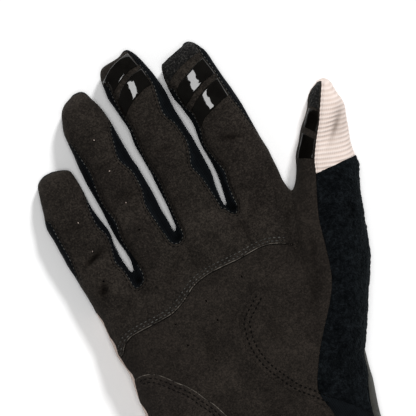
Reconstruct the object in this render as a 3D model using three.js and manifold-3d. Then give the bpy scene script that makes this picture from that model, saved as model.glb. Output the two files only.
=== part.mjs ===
// Full-finger cycling glove for the right hand, lying on its back with the palm up.
// Lengths are millimetres. X runs to the thumb, Y along the fingers, Z is up.
// The glove is worked out as one hollow skin of lofted limbs, and the skin is then
// cut along its seams into the panels that are sewn together.

import * as THREE from 'three';
import { mergeVertices } from 'three/addons/utils/BufferGeometryUtils.js';
import Module from 'manifold-3d';

const wasm = await Module();
wasm.setup();

// Driving dimensions
const wall = 1.5; // thickness of the suede and cloth
const seam = 0.3; // clearance between two neighbouring pieces
const lap = 0.05; // how far two parts of one cutting region overlap
const patchThickness = 1; // overlaid heel pad
const gripThickness = 0.7; // silicone bands
const touchThickness = 0.5; // textured fingertip patches

const palmWidth = 96; // across the knuckles
const palmLength = 128; // from the knuckles to the end of the cuff
const palmDepth = 28; // height of the palm as it lies
const cuffLength = 27;
const fingerWidth = 20; // nominal width that the finger tables share
const fingerDepth = 17; // height of a finger as it lies
const fingerCurl = 4; // how far the longest fingertip lifts off the ground
const indexLength = 72.8;
const middleLength = 81;
const ringLength = 73.2;
const littleLength = 57.2;
const thumbLength = 107; // from the wrist end of the thumb base to the tip
const thumbWidth = 25;
const thumbDepth = 20;

const knuckleDrop = 12; // the palm starts this far behind the finger roots
const notchY = -0.0293 * palmLength; // where the thumb parts from the palm
const notchShare = 0.638; // the notch's place along the thumb
const thumbLean = 0.388; // the thumb's drift in X for each millimetre of Y
const fingerSeamHeight = 6; // height of the side seams along the fingers
const palmSeamHeight = 12; // height of the side seams along the palm
const seamRiseStart = 5; // behind the finger roots the side seam rises from here
const seamRiseEnd = 22; // to here
const edgeShow = 0.9; // width of the pale back panel that shows beside the palm
const edgeShowStart = 20; // behind the finger roots, where it starts to show

const stationStep = 14; // spacing of the sections along a limb
const plainTip = 0.86; // inside, the closer sections of a tip past here are left out
// Directions of a section's points, in degrees from its right edge. The under side
// needs points only at its corners, because it lies flat between them.
const fingerSides = [0, 28, 60, 90, 120, 152, 180, 205, 228, 312, 335];
const thumbSides = [0, 26, 52, 77, 103, 128, 154, 180, 205, 228, 312, 335];
const palmSides = [0, 14, 28, 44, 60, 75, 90, 105, 120, 136, 152, 166, 180, 200, 217, 232, 308, 323, 340];
const roundness = 2.4; // exponent of a section's superellipse
const widestShare = 0.42; // height of a section's widest place, as a share of its depth
const sinkShare = 0.14; // how far a section reaches under its flat underside
const reach = 300; // half size of the cutting regions, larger than the glove

// Each limb has a root, a length along Y and a lean, which is its drift in X for each
// millimetre of Y. Table columns are shares: at of the length, the others of the width
// from the limb's axis, and depth of the limb's depth.
const palm = {
  rootX: -0.099 * palmWidth,
  rootY: -knuckleDrop,
  length: -palmLength,
  width: palmWidth,
  lean: 0,
  depth: palmDepth,
  sides: palmSides,
  sections: [
    { at: 0, left: -0.5, right: 0.5, depth: 0.56 },
    { at: 0.07, left: -0.492, right: 0.5, depth: 0.8 },
    { at: 0.17, left: -0.489, right: 0.51, depth: 0.94 },
    { at: 0.25, left: -0.475, right: 0.515, depth: 0.98 },
    { at: 0.33, left: -0.487, right: 0.52, depth: 1 },
    { at: 0.41, left: -0.486, right: 0.52, depth: 1 },
    { at: 0.5, left: -0.474, right: 0.502, depth: 0.98 },
    { at: 0.59, left: -0.458, right: 0.483, depth: 0.96 },
    { at: 0.69, left: -0.437, right: 0.45, depth: 0.94 },
    { at: 0.79, left: -0.42, right: 0.437, depth: 0.94 },
    { at: 0.89, left: -0.42, right: 0.443, depth: 1 },
    { at: 1, left: -0.43, right: 0.458, depth: 1.08 },
  ],
};

const indexFinger = {
  rootX: 0.267 * palmWidth,
  rootY: 0,
  length: indexLength,
  width: fingerWidth,
  lean: -0.073,
  depth: fingerDepth,
  sides: fingerSides,
  sections: [
    { at: -0.3, left: -0.85, right: 0.66, depth: 1.14 },
    { at: -0.07, left: -0.85, right: 0.65, depth: 1.1 },
    { at: 0, left: -0.68, right: 0.63, depth: 1.06 },
    { at: 0.14, left: -0.59, right: 0.64, depth: 1 },
    { at: 0.28, left: -0.52, right: 0.65, depth: 0.98 },
    { at: 0.42, left: -0.51, right: 0.65, depth: 0.97 },
    { at: 0.55, left: -0.46, right: 0.63, depth: 0.98 },
    { at: 0.66, left: -0.5, right: 0.61, depth: 0.98 },
    { at: 0.75, left: -0.55, right: 0.58, depth: 0.96 },
    { at: 0.85, left: -0.53, right: 0.54, depth: 0.9 },
    { at: 0.95, left: -0.4, right: 0.44, depth: 0.66 },
    { at: 0.975, left: -0.15, right: 0.38, depth: 0.5 },
    { at: 1, left: 0.12, right: 0.29, depth: 0.24 },
  ],
  suede: [
    { at: -0.3, left: -0.48, right: 0.72 },
    { at: 0.03, left: -0.47, right: 0.72 },
    { at: 0.235, left: -0.36, right: 0.72 },
    { at: 0.425, left: -0.46, right: 0.59 },
    { at: 0.53, left: -0.36, right: 0.545 },
    { at: 0.68, left: -0.44, right: 0.485 },
    { at: 0.783, left: -0.45, right: 0.465 },
    { at: 0.825, left: -0.6, right: 0.445 },
    { at: 0.92, left: -0.62, right: 0.7 },
    { at: 1.05, left: -0.62, right: 0.7 },
  ],
};

const middleFinger = {
  rootX: 0,
  rootY: 0,
  length: middleLength,
  width: fingerWidth,
  lean: -0.055,
  depth: fingerDepth,
  sides: fingerSides,
  sections: [
    { at: -0.25, left: -0.8, right: 0.8, depth: 1.16 },
    { at: -0.06, left: -0.8, right: 0.8, depth: 1.12 },
    { at: 0, left: -0.62, right: 0.6, depth: 1.08 },
    { at: 0.13, left: -0.52, right: 0.57, depth: 1.02 },
    { at: 0.25, left: -0.495, right: 0.64, depth: 1 },
    { at: 0.38, left: -0.485, right: 0.625, depth: 0.98 },
    { at: 0.51, left: -0.52, right: 0.62, depth: 1 },
    { at: 0.62, left: -0.46, right: 0.58, depth: 0.99 },
    { at: 0.72, left: -0.495, right: 0.58, depth: 0.97 },
    { at: 0.81, left: -0.535, right: 0.55, depth: 0.93 },
    { at: 0.9, left: -0.495, right: 0.475, depth: 0.82 },
    { at: 0.944, left: -0.435, right: 0.42, depth: 0.7 },
    { at: 0.972, left: -0.295, right: 0.37, depth: 0.54 },
    { at: 1, left: 0.16, right: 0.28, depth: 0.22 },
  ],
  suede: [
    { at: -0.25, left: -0.48, right: 0.46 },
    { at: 0.03, left: -0.475, right: 0.46 },
    { at: 0.23, left: -0.435, right: 0.395 },
    { at: 0.306, left: -0.41, right: 0.32 },
    { at: 0.444, left: -0.445, right: 0.48 },
    { at: 0.617, left: -0.4, right: 0.32 },
    { at: 0.78, left: -0.43, right: 0.42 },
    { at: 0.864, left: -0.4, right: 0.39 },
    { at: 0.907, left: -0.7, right: 0.345 },
    { at: 0.975, left: -0.7, right: 0.7 },
    { at: 1.05, left: -0.7, right: 0.7 },
  ],
};

const ringFinger = {
  rootX: -0.25 * palmWidth,
  rootY: 0,
  length: ringLength,
  width: fingerWidth,
  lean: -0.068,
  depth: fingerDepth,
  sides: fingerSides,
  sections: [
    { at: -0.3, left: -0.85, right: 0.8, depth: 1.14 },
    { at: -0.19, left: -0.85, right: 0.8, depth: 1.13 },
    { at: -0.12, left: -0.61, right: 0.8, depth: 1.11 },
    { at: -0.07, left: -0.54, right: 0.8, depth: 1.1 },
    { at: 0, left: -0.53, right: 0.58, depth: 1.06 },
    { at: 0.15, left: -0.57, right: 0.54, depth: 1 },
    { at: 0.3, left: -0.56, right: 0.55, depth: 0.98 },
    { at: 0.45, left: -0.57, right: 0.54, depth: 0.97 },
    { at: 0.58, left: -0.54, right: 0.51, depth: 0.97 },
    { at: 0.7, left: -0.51, right: 0.5, depth: 0.96 },
    { at: 0.8, left: -0.49, right: 0.485, depth: 0.92 },
    { at: 0.88, left: -0.39, right: 0.44, depth: 0.84 },
    { at: 0.93, left: -0.31, right: 0.385, depth: 0.74 },
    { at: 0.97, left: -0.155, right: 0.34, depth: 0.54 },
    { at: 1, left: 0.08, right: 0.22, depth: 0.24 },
  ],
  suede: [
    { at: -0.3, left: -0.42, right: 0.4 },
    { at: 0.02, left: -0.445, right: 0.36 },
    { at: 0.127, left: -0.47, right: 0.32 },
    { at: 0.236, left: -0.405, right: 0.29 },
    { at: 0.355, left: -0.465, right: 0.39 },
    { at: 0.557, left: -0.375, right: 0.265 },
    { at: 0.74, left: -0.44, right: 0.44 },
    { at: 0.775, left: -0.6, right: 0.6 },
    { at: 1.05, left: -0.6, right: 0.6 },
  ],
};

const littleFinger = {
  rootX: -0.493 * palmWidth,
  rootY: -0.078 * palmLength,
  length: littleLength,
  width: fingerWidth,
  lean: -0.0775,
  depth: fingerDepth,
  sides: fingerSides,
  sections: [
    { at: -0.25, left: -0.51, right: 0.8, depth: 1.06 },
    { at: -0.09, left: -0.51, right: 0.8, depth: 1.03 },
    { at: 0, left: -0.51, right: 0.59, depth: 1 },
    { at: 0.19, left: -0.52, right: 0.515, depth: 0.95 },
    { at: 0.32, left: -0.545, right: 0.52, depth: 0.92 },
    { at: 0.41, left: -0.545, right: 0.56, depth: 0.92 },
    { at: 0.51, left: -0.545, right: 0.53, depth: 0.92 },
    { at: 0.64, left: -0.54, right: 0.49, depth: 0.91 },
    { at: 0.76, left: -0.445, right: 0.5, depth: 0.87 },
    { at: 0.88, left: -0.355, right: 0.495, depth: 0.76 },
    { at: 0.95, left: -0.275, right: 0.47, depth: 0.6 },
    { at: 1, left: -0.07, right: 0.13, depth: 0.26 },
  ],
  suede: [
    { at: -0.25, left: -0.7, right: 0.44 },
    { at: 0, left: -0.7, right: 0.445 },
    { at: 0.11, left: -0.6, right: 0.43 },
    { at: 0.206, left: -0.48, right: 0.36 },
    { at: 0.4, left: -0.415, right: 0.475 },
    { at: 0.52, left: -0.415, right: 0.395 },
    { at: 0.67, left: -0.405, right: 0.44 },
    { at: 0.74, left: -0.7, right: 0.5 },
    { at: 1.05, left: -0.7, right: 0.56 },
  ],
};

const thumb = {
  rootX: 0.578 * palmWidth - thumbLean * notchShare * thumbLength,
  rootY: notchY - notchShare * thumbLength,
  length: thumbLength,
  width: thumbWidth,
  lean: thumbLean,
  depth: thumbDepth,
  sides: thumbSides,
  sections: [
    { at: 0, left: -0.6, right: 0.48, depth: 1.3 },
    { at: 0.15, left: -0.73, right: 0.576, depth: 1.3 },
    { at: 0.3, left: -0.78, right: 0.66, depth: 1.25 },
    { at: 0.45, left: -0.78, right: 0.6, depth: 1.14 },
    { at: 0.58, left: -0.8, right: 0.56, depth: 1.04 },
    { at: 0.638, left: -0.68, right: 0.57, depth: 1 },
    { at: 0.67, left: -0.6, right: 0.5, depth: 0.97 },
    { at: 0.71, left: -0.57, right: 0.456, depth: 0.95 },
    { at: 0.763, left: -0.55, right: 0.43, depth: 0.92 },
    { at: 0.803, left: -0.496, right: 0.41, depth: 0.9 },
    { at: 0.857, left: -0.424, right: 0.39, depth: 0.86 },
    { at: 0.89, left: -0.35, right: 0.35, depth: 0.8 },
    { at: 0.922, left: -0.28, right: 0.27, depth: 0.72 },
    { at: 0.956, left: -0.256, right: 0.196, depth: 0.62 },
    { at: 0.978, left: -0.204, right: 0.148, depth: 0.5 },
    { at: 1, left: -0.08, right: 0.05, depth: 0.28 },
  ],
};

const fingers = [indexFinger, middleFinger, ringFinger, littleFinger];

// Seams on the palm side, as points of the palm's table shares
const crossSeam = [
  { at: 0.19, across: -0.56 },
  { at: 0.18, across: -0.473 },
  { at: 0.146, across: -0.428 },
  { at: 0.132, across: -0.353 },
  { at: 0.128, across: -0.249 },
  { at: 0.117, across: -0.168 },
  { at: 0.0875, across: -0.093 },
  { at: 0.061, across: -0.012 },
  { at: 0.054, across: 0.099 },
  { at: 0.05, across: 0.234 },
  { at: 0.055, across: 0.317 },
  { at: 0.07, across: 0.376 },
  { at: 0.1, across: 0.44 },
];
const thumbBaseSeam = [
  { at: -0.064, across: 0.505 },
  { at: 0.016, across: 0.469 },
  { at: 0.078, across: 0.443 },
  { at: 0.121, across: 0.38 },
  { at: 0.137, across: 0.286 },
  { at: 0.15, across: 0.21 },
  { at: 0.195, across: 0.123 },
  { at: 0.234, across: 0.0625 },
  { at: 0.273, across: 0.045 },
  { at: 0.316, across: 0.036 },
  { at: 0.364, across: 0.041 },
  { at: 0.42, across: 0.061 },
  { at: 0.476, across: 0.1 },
  { at: 0.53, across: 0.145 },
  { at: 0.57, across: 0.197 },
  { at: 0.615, across: 0.249 },
];
const heelPatchEdge = [
  { at: 0.273, across: -0.56 },
  { at: 0.272, across: -0.473 },
  { at: 0.266, across: -0.421 },
  { at: 0.286, across: -0.36 },
  { at: 0.333, across: -0.301 },
  { at: 0.386, across: -0.242 },
  { at: 0.448, across: -0.194 },
  { at: 0.506, across: -0.1635 },
  { at: 0.6, across: -0.15 },
  { at: 0.76, across: -0.15 },
];
const gussetSeam = [
  { at: 0.49, across: 0.13 },
  { at: 0.606, across: 0.305 },
  { at: 0.6375, across: 0.346 },
  { at: 0.665, across: 0.383 },
  { at: 0.7, across: 0.43 },
  { at: 0.74, across: 0.56 },
];
const wristEdge = [
  { at: 0.48, across: 0.56 },
  { at: 0.5, across: 0.5 },
  { at: 0.565, across: 0.476 },
  { at: 0.604, across: 0.454 },
  { at: 0.6375, across: 0.4385 },
  { at: 0.6766, across: 0.424 },
  { at: 0.75, across: 0.41 },
  { at: 0.85, across: 0.41 },
];

// Seams of the thumb, as points of the thumb's table shares. The outer seam parts the
// suede from the terry and the pale knit, and the free side lies outside the suede.
const outerSeam = [
  { at: 1.06, across: 0.06 },
  { at: 1, across: 0.01 },
  { at: 0.96, across: -0.02 },
  { at: 0.925, across: -0.045 },
  { at: 0.888, across: -0.075 },
  { at: 0.853, across: -0.097 },
  { at: 0.816, across: -0.143 },
  { at: 0.778, across: -0.185 },
  { at: 0.722, across: -0.228 },
  { at: 0.67, across: -0.22 },
  { at: 0.58, across: -0.23 },
  { at: 0.498, across: -0.216 },
  { at: 0.393, across: -0.132 },
  { at: 0.28, across: -0.066 },
  { at: 0.196, across: -0.126 },
  { at: 0.106, across: -0.27 },
  { at: 0.019, across: -0.387 },
  { at: -0.088, across: -0.45 },
  { at: -0.155, across: -0.327 },
  { at: -0.208, across: -0.194 },
  { at: -0.4, across: 0.15 },
  { at: -0.8, across: 0.78 },
];
const thumbFreeSide = [
  { at: 0.6, across: -0.66 },
  { at: 0.673, across: -0.665 },
  { at: 0.748, across: -0.68 },
  { at: 0.86, across: -0.59 },
  { at: 1.01, across: -0.36 },
];
const backThumbSeam = [
  { at: -0.064, across: 0.506 },
  { at: 0.016, across: 0.495 },
  { at: 0.14, across: 0.47 },
  { at: 0.3, across: 0.44 },
  { at: 0.55, across: 0.42 },
];
const wipeStart = 0.672; // where the pale knit starts, along the thumb
const knuckleSeam = 0.02; // where the finger backs meet the back of the hand
const wristBackSeam = { right: 0.49, left: 0.66 }; // slanted, along the palm

// Silicone bands and tip patches, as points of their limb's table shares
const indexGripUpper = {
  near: [
    { at: 0.659, across: -0.52 },
    { at: 0.684, across: -0.31 },
    { at: 0.713, across: -0.145 },
    { at: 0.736, across: 0.035 },
    { at: 0.758, across: 0.24 },
    { at: 0.77, across: 0.56 },
  ],
  far: [
    { at: 0.885, across: 0.56 },
    { at: 0.868, across: 0.265 },
    { at: 0.8365, across: -0.03 },
    { at: 0.8, across: -0.29 },
    { at: 0.75, across: -0.52 },
  ],
};
const indexGripLower = {
  near: [
    { at: 0.505, across: -0.46 },
    { at: 0.5645, across: -0.145 },
    { at: 0.593, across: 0.135 },
    { at: 0.615, across: 0.37 },
    { at: 0.622, across: 0.58 },
  ],
  far: [
    { at: 0.742, across: 0.58 },
    { at: 0.716, across: 0.165 },
    { at: 0.673, across: -0.155 },
    { at: 0.62, across: -0.46 },
  ],
};
const middleGripUpper = {
  near: [
    { at: 0.79, across: -0.56 },
    { at: 0.837, across: -0.29 },
    { at: 0.878, across: 0.02 },
    { at: 0.893, across: 0.2 },
    { at: 0.895, across: 0.5 },
  ],
  far: [
    { at: 0.98, across: 0.5 },
    { at: 0.963, across: 0.08 },
    { at: 0.944, across: -0.155 },
    { at: 0.89, across: -0.56 },
  ],
};
const middleGripLower = {
  near: [
    { at: 0.66, across: -0.56 },
    { at: 0.7185, across: -0.225 },
    { at: 0.752, across: 0.03 },
    { at: 0.775, across: 0.31 },
    { at: 0.775, across: 0.56 },
  ],
  far: [
    { at: 0.875, across: 0.56 },
    { at: 0.867, across: 0.195 },
    { at: 0.823, across: -0.18 },
    { at: 0.74, across: -0.56 },
  ],
};
const thumbGripLower = {
  near: [
    { at: 0.766, across: -0.7 },
    { at: 0.726, across: -0.15 },
  ],
  far: [
    { at: 0.79, across: -0.12 },
    { at: 0.85, across: -0.52 },
  ],
};
const thumbGripUpper = {
  near: [
    { at: 0.87, across: -0.5 },
    { at: 0.815, across: -0.1 },
  ],
  far: [
    { at: 0.88, across: 0 },
    { at: 0.93, across: -0.4 },
  ],
};
const thumbTouchPatch = {
  near: [
    { at: 0.95, across: -0.4 },
    { at: 0.9, across: 0.05 },
  ],
  far: [
    { at: 1.05, across: 0.1 },
    { at: 1.05, across: -0.3 },
  ],
};
const indexTouchPatch = {
  near: [
    { at: 0.81, across: -0.66 },
    { at: 0.8585, across: -0.315 },
    { at: 0.9, across: 0.08 },
    { at: 0.925, across: 0.66 },
  ],
  far: [
    { at: 1.04, across: 0.66 },
    { at: 1.04, across: -0.66 },
  ],
};

// Main dents and folds of the palm side. At and across place each one on its limb,
// length, breadth and depth are shares of the limb's width, and turn is in degrees
// from X.
const folds = [
  { limb: palm, at: 0.24, across: -0.06, length: 0.3, breadth: 0.16, depth: 0.022, turn: 70 },
  { limb: palm, at: 0.12, across: 0.4, length: 0.12, breadth: 0.05, depth: 0.016, turn: 75 },
  { limb: palm, at: 0.44, across: -0.02, length: 0.18, breadth: 0.05, depth: 0.018, turn: 110 },
  { limb: palm, at: 0.02, across: -0.12, length: 0.34, breadth: 0.05, depth: 0.01, turn: 10 },
  { limb: littleFinger, at: 0.31, across: -0.02, length: 0.6, breadth: 0.2, depth: 0.06, turn: 20 },
  { limb: ringFinger, at: 0.24, across: 0.1, length: 0.5, breadth: 0.2, depth: 0.05, turn: 10 },
  { limb: middleFinger, at: 0.31, across: 0.1, length: 0.5, breadth: 0.2, depth: 0.05, turn: 8 },
  { limb: indexFinger, at: 0.25, across: -0.1, length: 0.5, breadth: 0.2, depth: 0.05, turn: 8 },
  { limb: thumb, at: 0.81, across: 0.16, length: 0.5, breadth: 0.14, depth: 0.09, turn: 42 },
];

// Places on the glove

function place(limb, at, across) {
  const y = limb.rootY + at * limb.length;
  const x = limb.rootX + limb.lean * (y - limb.rootY) + across * limb.width;
  return new THREE.Vector2(x, y);
}

function placeAll(limb, points) {
  return points.map((point) => place(limb, point.at, point.across));
}

function curlHeight(y) {
  const share = Math.max(0, y) / middleLength;
  return fingerCurl * share * share;
}

function foldDepth(x, y) {
  let depth = 0;
  for (const fold of folds) {
    const middle = place(fold.limb, fold.at, fold.across);
    const turn = THREE.MathUtils.degToRad(fold.turn);
    const along = (x - middle.x) * Math.cos(turn) + (y - middle.y) * Math.sin(turn);
    const beside = (y - middle.y) * Math.cos(turn) - (x - middle.x) * Math.sin(turn);
    const lengthShare = along / (fold.length * fold.limb.width);
    const breadthShare = beside / (fold.breadth * fold.limb.width);
    const fade = Math.exp(-2 * (lengthShare * lengthShare + breadthShare * breadthShare));
    depth += fold.depth * fold.limb.width * fade;
  }
  return depth;
}

// A column of a table, read between its rows along a smooth curve with no overshoot

function slopeAt(rows, column, index) {
  const before = rows[index - 1];
  const here = rows[index];
  const after = rows[index + 1];
  if (!before || !after) return 0;
  const slopeIn = (here[column] - before[column]) / (here.at - before.at);
  const slopeOut = (after[column] - here[column]) / (after.at - here.at);
  if (slopeIn * slopeOut <= 0) return 0;
  return (2 * slopeIn * slopeOut) / (slopeIn + slopeOut);
}

function readColumn(rows, column, at) {
  let index = 0;
  while (index < rows.length - 2 && at > rows[index + 1].at) index += 1;
  const from = rows[index];
  const to = rows[index + 1];
  const span = to.at - from.at;
  const t = THREE.MathUtils.clamp((at - from.at) / span, 0, 1);
  const slopeFrom = slopeAt(rows, column, index) * span;
  const slopeTo = slopeAt(rows, column, index + 1) * span;
  const squared = t * t;
  const cubed = squared * t;
  const start = (2 * cubed - 3 * squared + 1) * from[column];
  const end = (3 * squared - 2 * cubed) * to[column];
  return start + end + (cubed - 2 * squared + t) * slopeFrom + (cubed - squared) * slopeTo;
}

function evenShares(from, to, length, step) {
  const steps = Math.max(1, Math.round(((to - from) * Math.abs(length)) / step));
  return Array.from({ length: steps }, (unused, index) => from + ((to - from) * (index + 1)) / steps);
}

// The skin has a section at each row of its table and between rows that lie far apart
function outsideStations(limb) {
  const rows = limb.sections;
  const between = rows.slice(1).map((row, index) => evenShares(rows[index].at, row.at, limb.length, stationStep));
  return [rows[0].at, ...between.flat()];
}

function insideStations(limb) {
  const rows = limb.sections.filter((row) => row.at < plainTip || row.at === 1);
  return rows.map((row) => row.at);
}

// Solids

function solidOf(geometry) {
  geometry.deleteAttribute('normal');
  geometry.deleteAttribute('uv');
  const merged = mergeVertices(geometry);
  return new wasm.Manifold(
    new wasm.Mesh({
      numProp: 3,
      vertProperties: new Float32Array(merged.attributes.position.array),
      triVerts: new Uint32Array(merged.index.array),
    }),
  );
}

function geometryOf(solid) {
  const mesh = solid.getMesh();
  const geometry = new THREE.BufferGeometry();
  geometry.setAttribute('position', new THREE.BufferAttribute(new Float32Array(mesh.vertProperties), 3));
  geometry.setIndex(new THREE.BufferAttribute(new Uint32Array(mesh.triVerts), 1));
  geometry.computeVertexNormals();
  return geometry;
}

function join(solids) {
  return solids.reduce((joined, solid) => joined.add(solid));
}

function power(value, exponent) {
  return Math.sign(value) * Math.abs(value) ** exponent;
}

// One ring of points round a limb. Grow moves it outward, or inward when negative.
function sectionRing(limb, at, grow) {
  const left = place(limb, at, readColumn(limb.sections, 'left', at));
  const right = place(limb, at, readColumn(limb.sections, 'right', at));
  const depth = limb.depth * readColumn(limb.sections, 'depth', at);
  const y = left.y + grow * at * Math.sign(limb.length);
  const base = curlHeight(left.y);
  const floor = base - Math.min(0, grow) - Math.max(0, grow);
  const middle = (left.x + right.x) / 2;
  const halfWidth = Math.max(wall / 4, (right.x - left.x) / 2 + grow);
  const widest = depth * widestShare;
  const above = Math.max(wall / 4, depth - widest + grow);
  const below = widest + depth * sinkShare + grow;
  return limb.sides.map((direction) => {
    const angle = THREE.MathUtils.degToRad(direction);
    const x = middle + halfWidth * power(Math.cos(angle), 2 / roundness);
    const rise = power(Math.sin(angle), 2 / roundness);
    const height = rise > 0 ? rise * (above - foldDepth(x, y)) : rise * below;
    return [x, y, Math.max(floor, base + widest + height)];
  });
}

// A closed loft through rings of points, the rings in order of rising Y
function loft(rings) {
  const sides = rings[0].length;
  const positions = rings.flat(2);
  const triangles = [];
  for (let ring = 0; ring < rings.length - 1; ring += 1) {
    for (let side = 0; side < sides; side += 1) {
      const next = (side + 1) % sides;
      const here = ring * sides;
      const beyond = here + sides;
      triangles.push(here + side, beyond + side, here + next);
      triangles.push(here + next, beyond + side, beyond + next);
    }
  }
  for (const [ring, turned] of [[0, false], [rings.length - 1, true]]) {
    const centre = positions.length / 3;
    const sum = rings[ring].reduce((total, point) => total.map((value, axis) => value + point[axis]));
    positions.push(...sum.map((value) => value / sides));
    for (let side = 0; side < sides; side += 1) {
      const first = ring * sides + side;
      const second = ring * sides + ((side + 1) % sides);
      triangles.push(centre, turned ? second : first, turned ? first : second);
    }
  }
  const geometry = new THREE.BufferGeometry();
  geometry.setAttribute('position', new THREE.Float32BufferAttribute(positions, 3));
  geometry.setIndex(triangles);
  return solidOf(geometry);
}

function limbSolid(limb, grow) {
  const inside = grow < 0;
  const shares = inside ? insideStations(limb) : outsideStations(limb);
  const rings = shares.map((at) => sectionRing(limb, at, grow));
  if (limb === palm) {
    const mouth = rings[rings.length - 1];
    if (inside) rings.push(mouth.map(([x, y, z]) => [x, y - 2 * wall, z]));
    rings.reverse();
  }
  return loft(rings);
}

function bodySolid(grow) {
  return join([palm, thumb, ...fingers].map((limb) => limbSolid(limb, grow)));
}

// Cutting regions. A region that grows takes its seam's clearance with it.

function growOutline(points, grow) {
  const outline = THREE.ShapeUtils.area(points) < 0 ? [...points].reverse() : points;
  return outline.map((point, index) => {
    const before = outline[(index + outline.length - 1) % outline.length];
    const after = outline[(index + 1) % outline.length];
    const edgeIn = point.clone().sub(before).normalize();
    const edgeOut = after.clone().sub(point).normalize();
    const normalIn = new THREE.Vector2(edgeIn.y, -edgeIn.x);
    const normalOut = new THREE.Vector2(edgeOut.y, -edgeOut.x);
    const sharpness = Math.max(0.5, 1 + normalIn.dot(normalOut));
    return point.clone().addScaledVector(normalIn.add(normalOut), grow / sharpness);
  });
}

function column(points, grow) {
  const shape = new THREE.Shape(growOutline(points, grow));
  const geometry = new THREE.ExtrudeGeometry(shape, { depth: 2 * reach, bevelEnabled: false });
  geometry.translate(0, 0, -reach);
  return solidOf(geometry);
}

// The height of the side seams, which part the palm side from the back of the hand
function sideSeamHeight(y) {
  const rise = THREE.MathUtils.smoothstep(-y, seamRiseStart, seamRiseEnd);
  return fingerSeamHeight + (palmSeamHeight - fingerSeamHeight) * rise + curlHeight(y);
}

function sideSeamLine(shift) {
  const line = [];
  const end = Math.ceil(middleLength / stationStep + 1) * stationStep;
  line.push(new THREE.Vector2(-reach, sideSeamHeight(-reach) + shift));
  for (let y = -seamRiseEnd; y <= end; y += stationStep) {
    line.push(new THREE.Vector2(y, sideSeamHeight(y) + shift));
  }
  line.push(new THREE.Vector2(reach, sideSeamHeight(end) + shift));
  return line;
}

function slabBeside(line, edgeHeight) {
  const first = line[0];
  const last = line[line.length - 1];
  const outline = [...line, new THREE.Vector2(last.x, edgeHeight), new THREE.Vector2(first.x, edgeHeight)];
  const shape = new THREE.Shape(growOutline(outline, 0));
  const geometry = new THREE.ExtrudeGeometry(shape, { depth: 2 * reach, bevelEnabled: false });
  geometry.rotateX(Math.PI / 2);
  geometry.rotateZ(Math.PI / 2);
  geometry.translate(-reach, 0, 0);
  return solidOf(geometry);
}

function palmSide(grow) {
  return slabBeside(sideSeamLine(-grow), reach);
}

function backSide(grow) {
  return slabBeside(sideSeamLine(grow), -reach);
}

function backOf(outline, grow) {
  return column(outline, grow).intersect(backSide(grow));
}

function frontOf(outline, grow) {
  return column(outline, grow).intersect(palmSide(grow));
}

// A region on one side of a line across the plan, from the line to well past the glove

function rightOf(limb, line) {
  const points = placeAll(limb, line);
  const last = points[points.length - 1];
  return [...points, new THREE.Vector2(reach, last.y), new THREE.Vector2(reach, points[0].y)];
}

function leftOf(limb, line) {
  const points = placeAll(limb, line);
  const last = points[points.length - 1];
  return [...points, new THREE.Vector2(-reach, last.y), new THREE.Vector2(-reach, points[0].y)];
}

function wristwardOf(limb, line) {
  const points = placeAll(limb, line);
  const last = points[points.length - 1];
  return [...points, new THREE.Vector2(last.x, -reach), new THREE.Vector2(points[0].x, -reach)];
}

function tipwardOf(limb, line) {
  const points = placeAll(limb, line);
  const last = points[points.length - 1];
  return [...points, new THREE.Vector2(last.x, reach), new THREE.Vector2(points[0].x, reach)];
}

function suedeOutline(finger) {
  const leftSide = finger.suede.map((row) => place(finger, row.at, row.left));
  const rightSide = finger.suede.map((row) => place(finger, row.at, row.right));
  return [...leftSide, ...rightSide.reverse()];
}

function betweenAxes(leftFinger, rightFinger, rootAt) {
  const root = Math.min(leftFinger.rootY, rightFinger.rootY) - rootAt * palmLength;
  const atRoot = (finger) => (root - finger.rootY) / finger.length;
  return [
    place(leftFinger, atRoot(leftFinger), 0),
    place(rightFinger, atRoot(rightFinger), 0),
    place(rightFinger, 1.1, 0),
    place(leftFinger, 1.1, 0),
  ];
}

const crotchDrop = { indexMiddle: 0.024, middleRing: 0.022, ringLittle: 0.024 };
const farRight = 1.6; // past the palm's sides, as shares of its width
const farLeft = -1.6;

const outlines = {
  cuff: wristwardOf(palm, [
    { at: 1 - cuffLength / palmLength, across: farLeft },
    { at: 1 - cuffLength / palmLength, across: farRight },
  ]),
  outerSide: rightOf(thumb, outerSeam),
  innerSide: leftOf(thumb, outerSeam),
  thumbBase: rightOf(palm, thumbBaseSeam),
  freeThumb: rightOf(thumb, thumbFreeSide),
  tipward: tipwardOf(thumb, [
    { at: wipeStart, across: 2 * farLeft },
    { at: wipeStart, across: 2 * farRight },
  ]),
  backThumb: rightOf(palm, backThumbSeam),
  wristBack: wristwardOf(palm, [
    { at: wristBackSeam.left, across: farLeft },
    { at: wristBackSeam.right, across: farRight },
  ]),
  wristStrip: rightOf(palm, wristEdge),
  backHand: wristwardOf(palm, [
    { at: knuckleSeam, across: farLeft },
    { at: knuckleSeam, across: farRight },
  ]),
  gusset: wristwardOf(palm, gussetSeam),
  lowerPalm: wristwardOf(palm, crossSeam),
  upperPalm: [
    ...placeAll(palm, crossSeam),
    place(palm, -knuckleDrop / palmLength + crotchDrop.indexMiddle, thumbBaseSeam[0].across),
    new THREE.Vector2(middleFinger.rootX, -crotchDrop.indexMiddle * palmLength),
    new THREE.Vector2(middleFinger.rootX, -crotchDrop.middleRing * palmLength),
    new THREE.Vector2(ringFinger.rootX, -crotchDrop.middleRing * palmLength),
    new THREE.Vector2(ringFinger.rootX, littleFinger.rootY - crotchDrop.ringLittle * palmLength),
    place(palm, 0.005, farLeft),
  ],
  heelPatch: leftOf(palm, heelPatchEdge),
};

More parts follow.
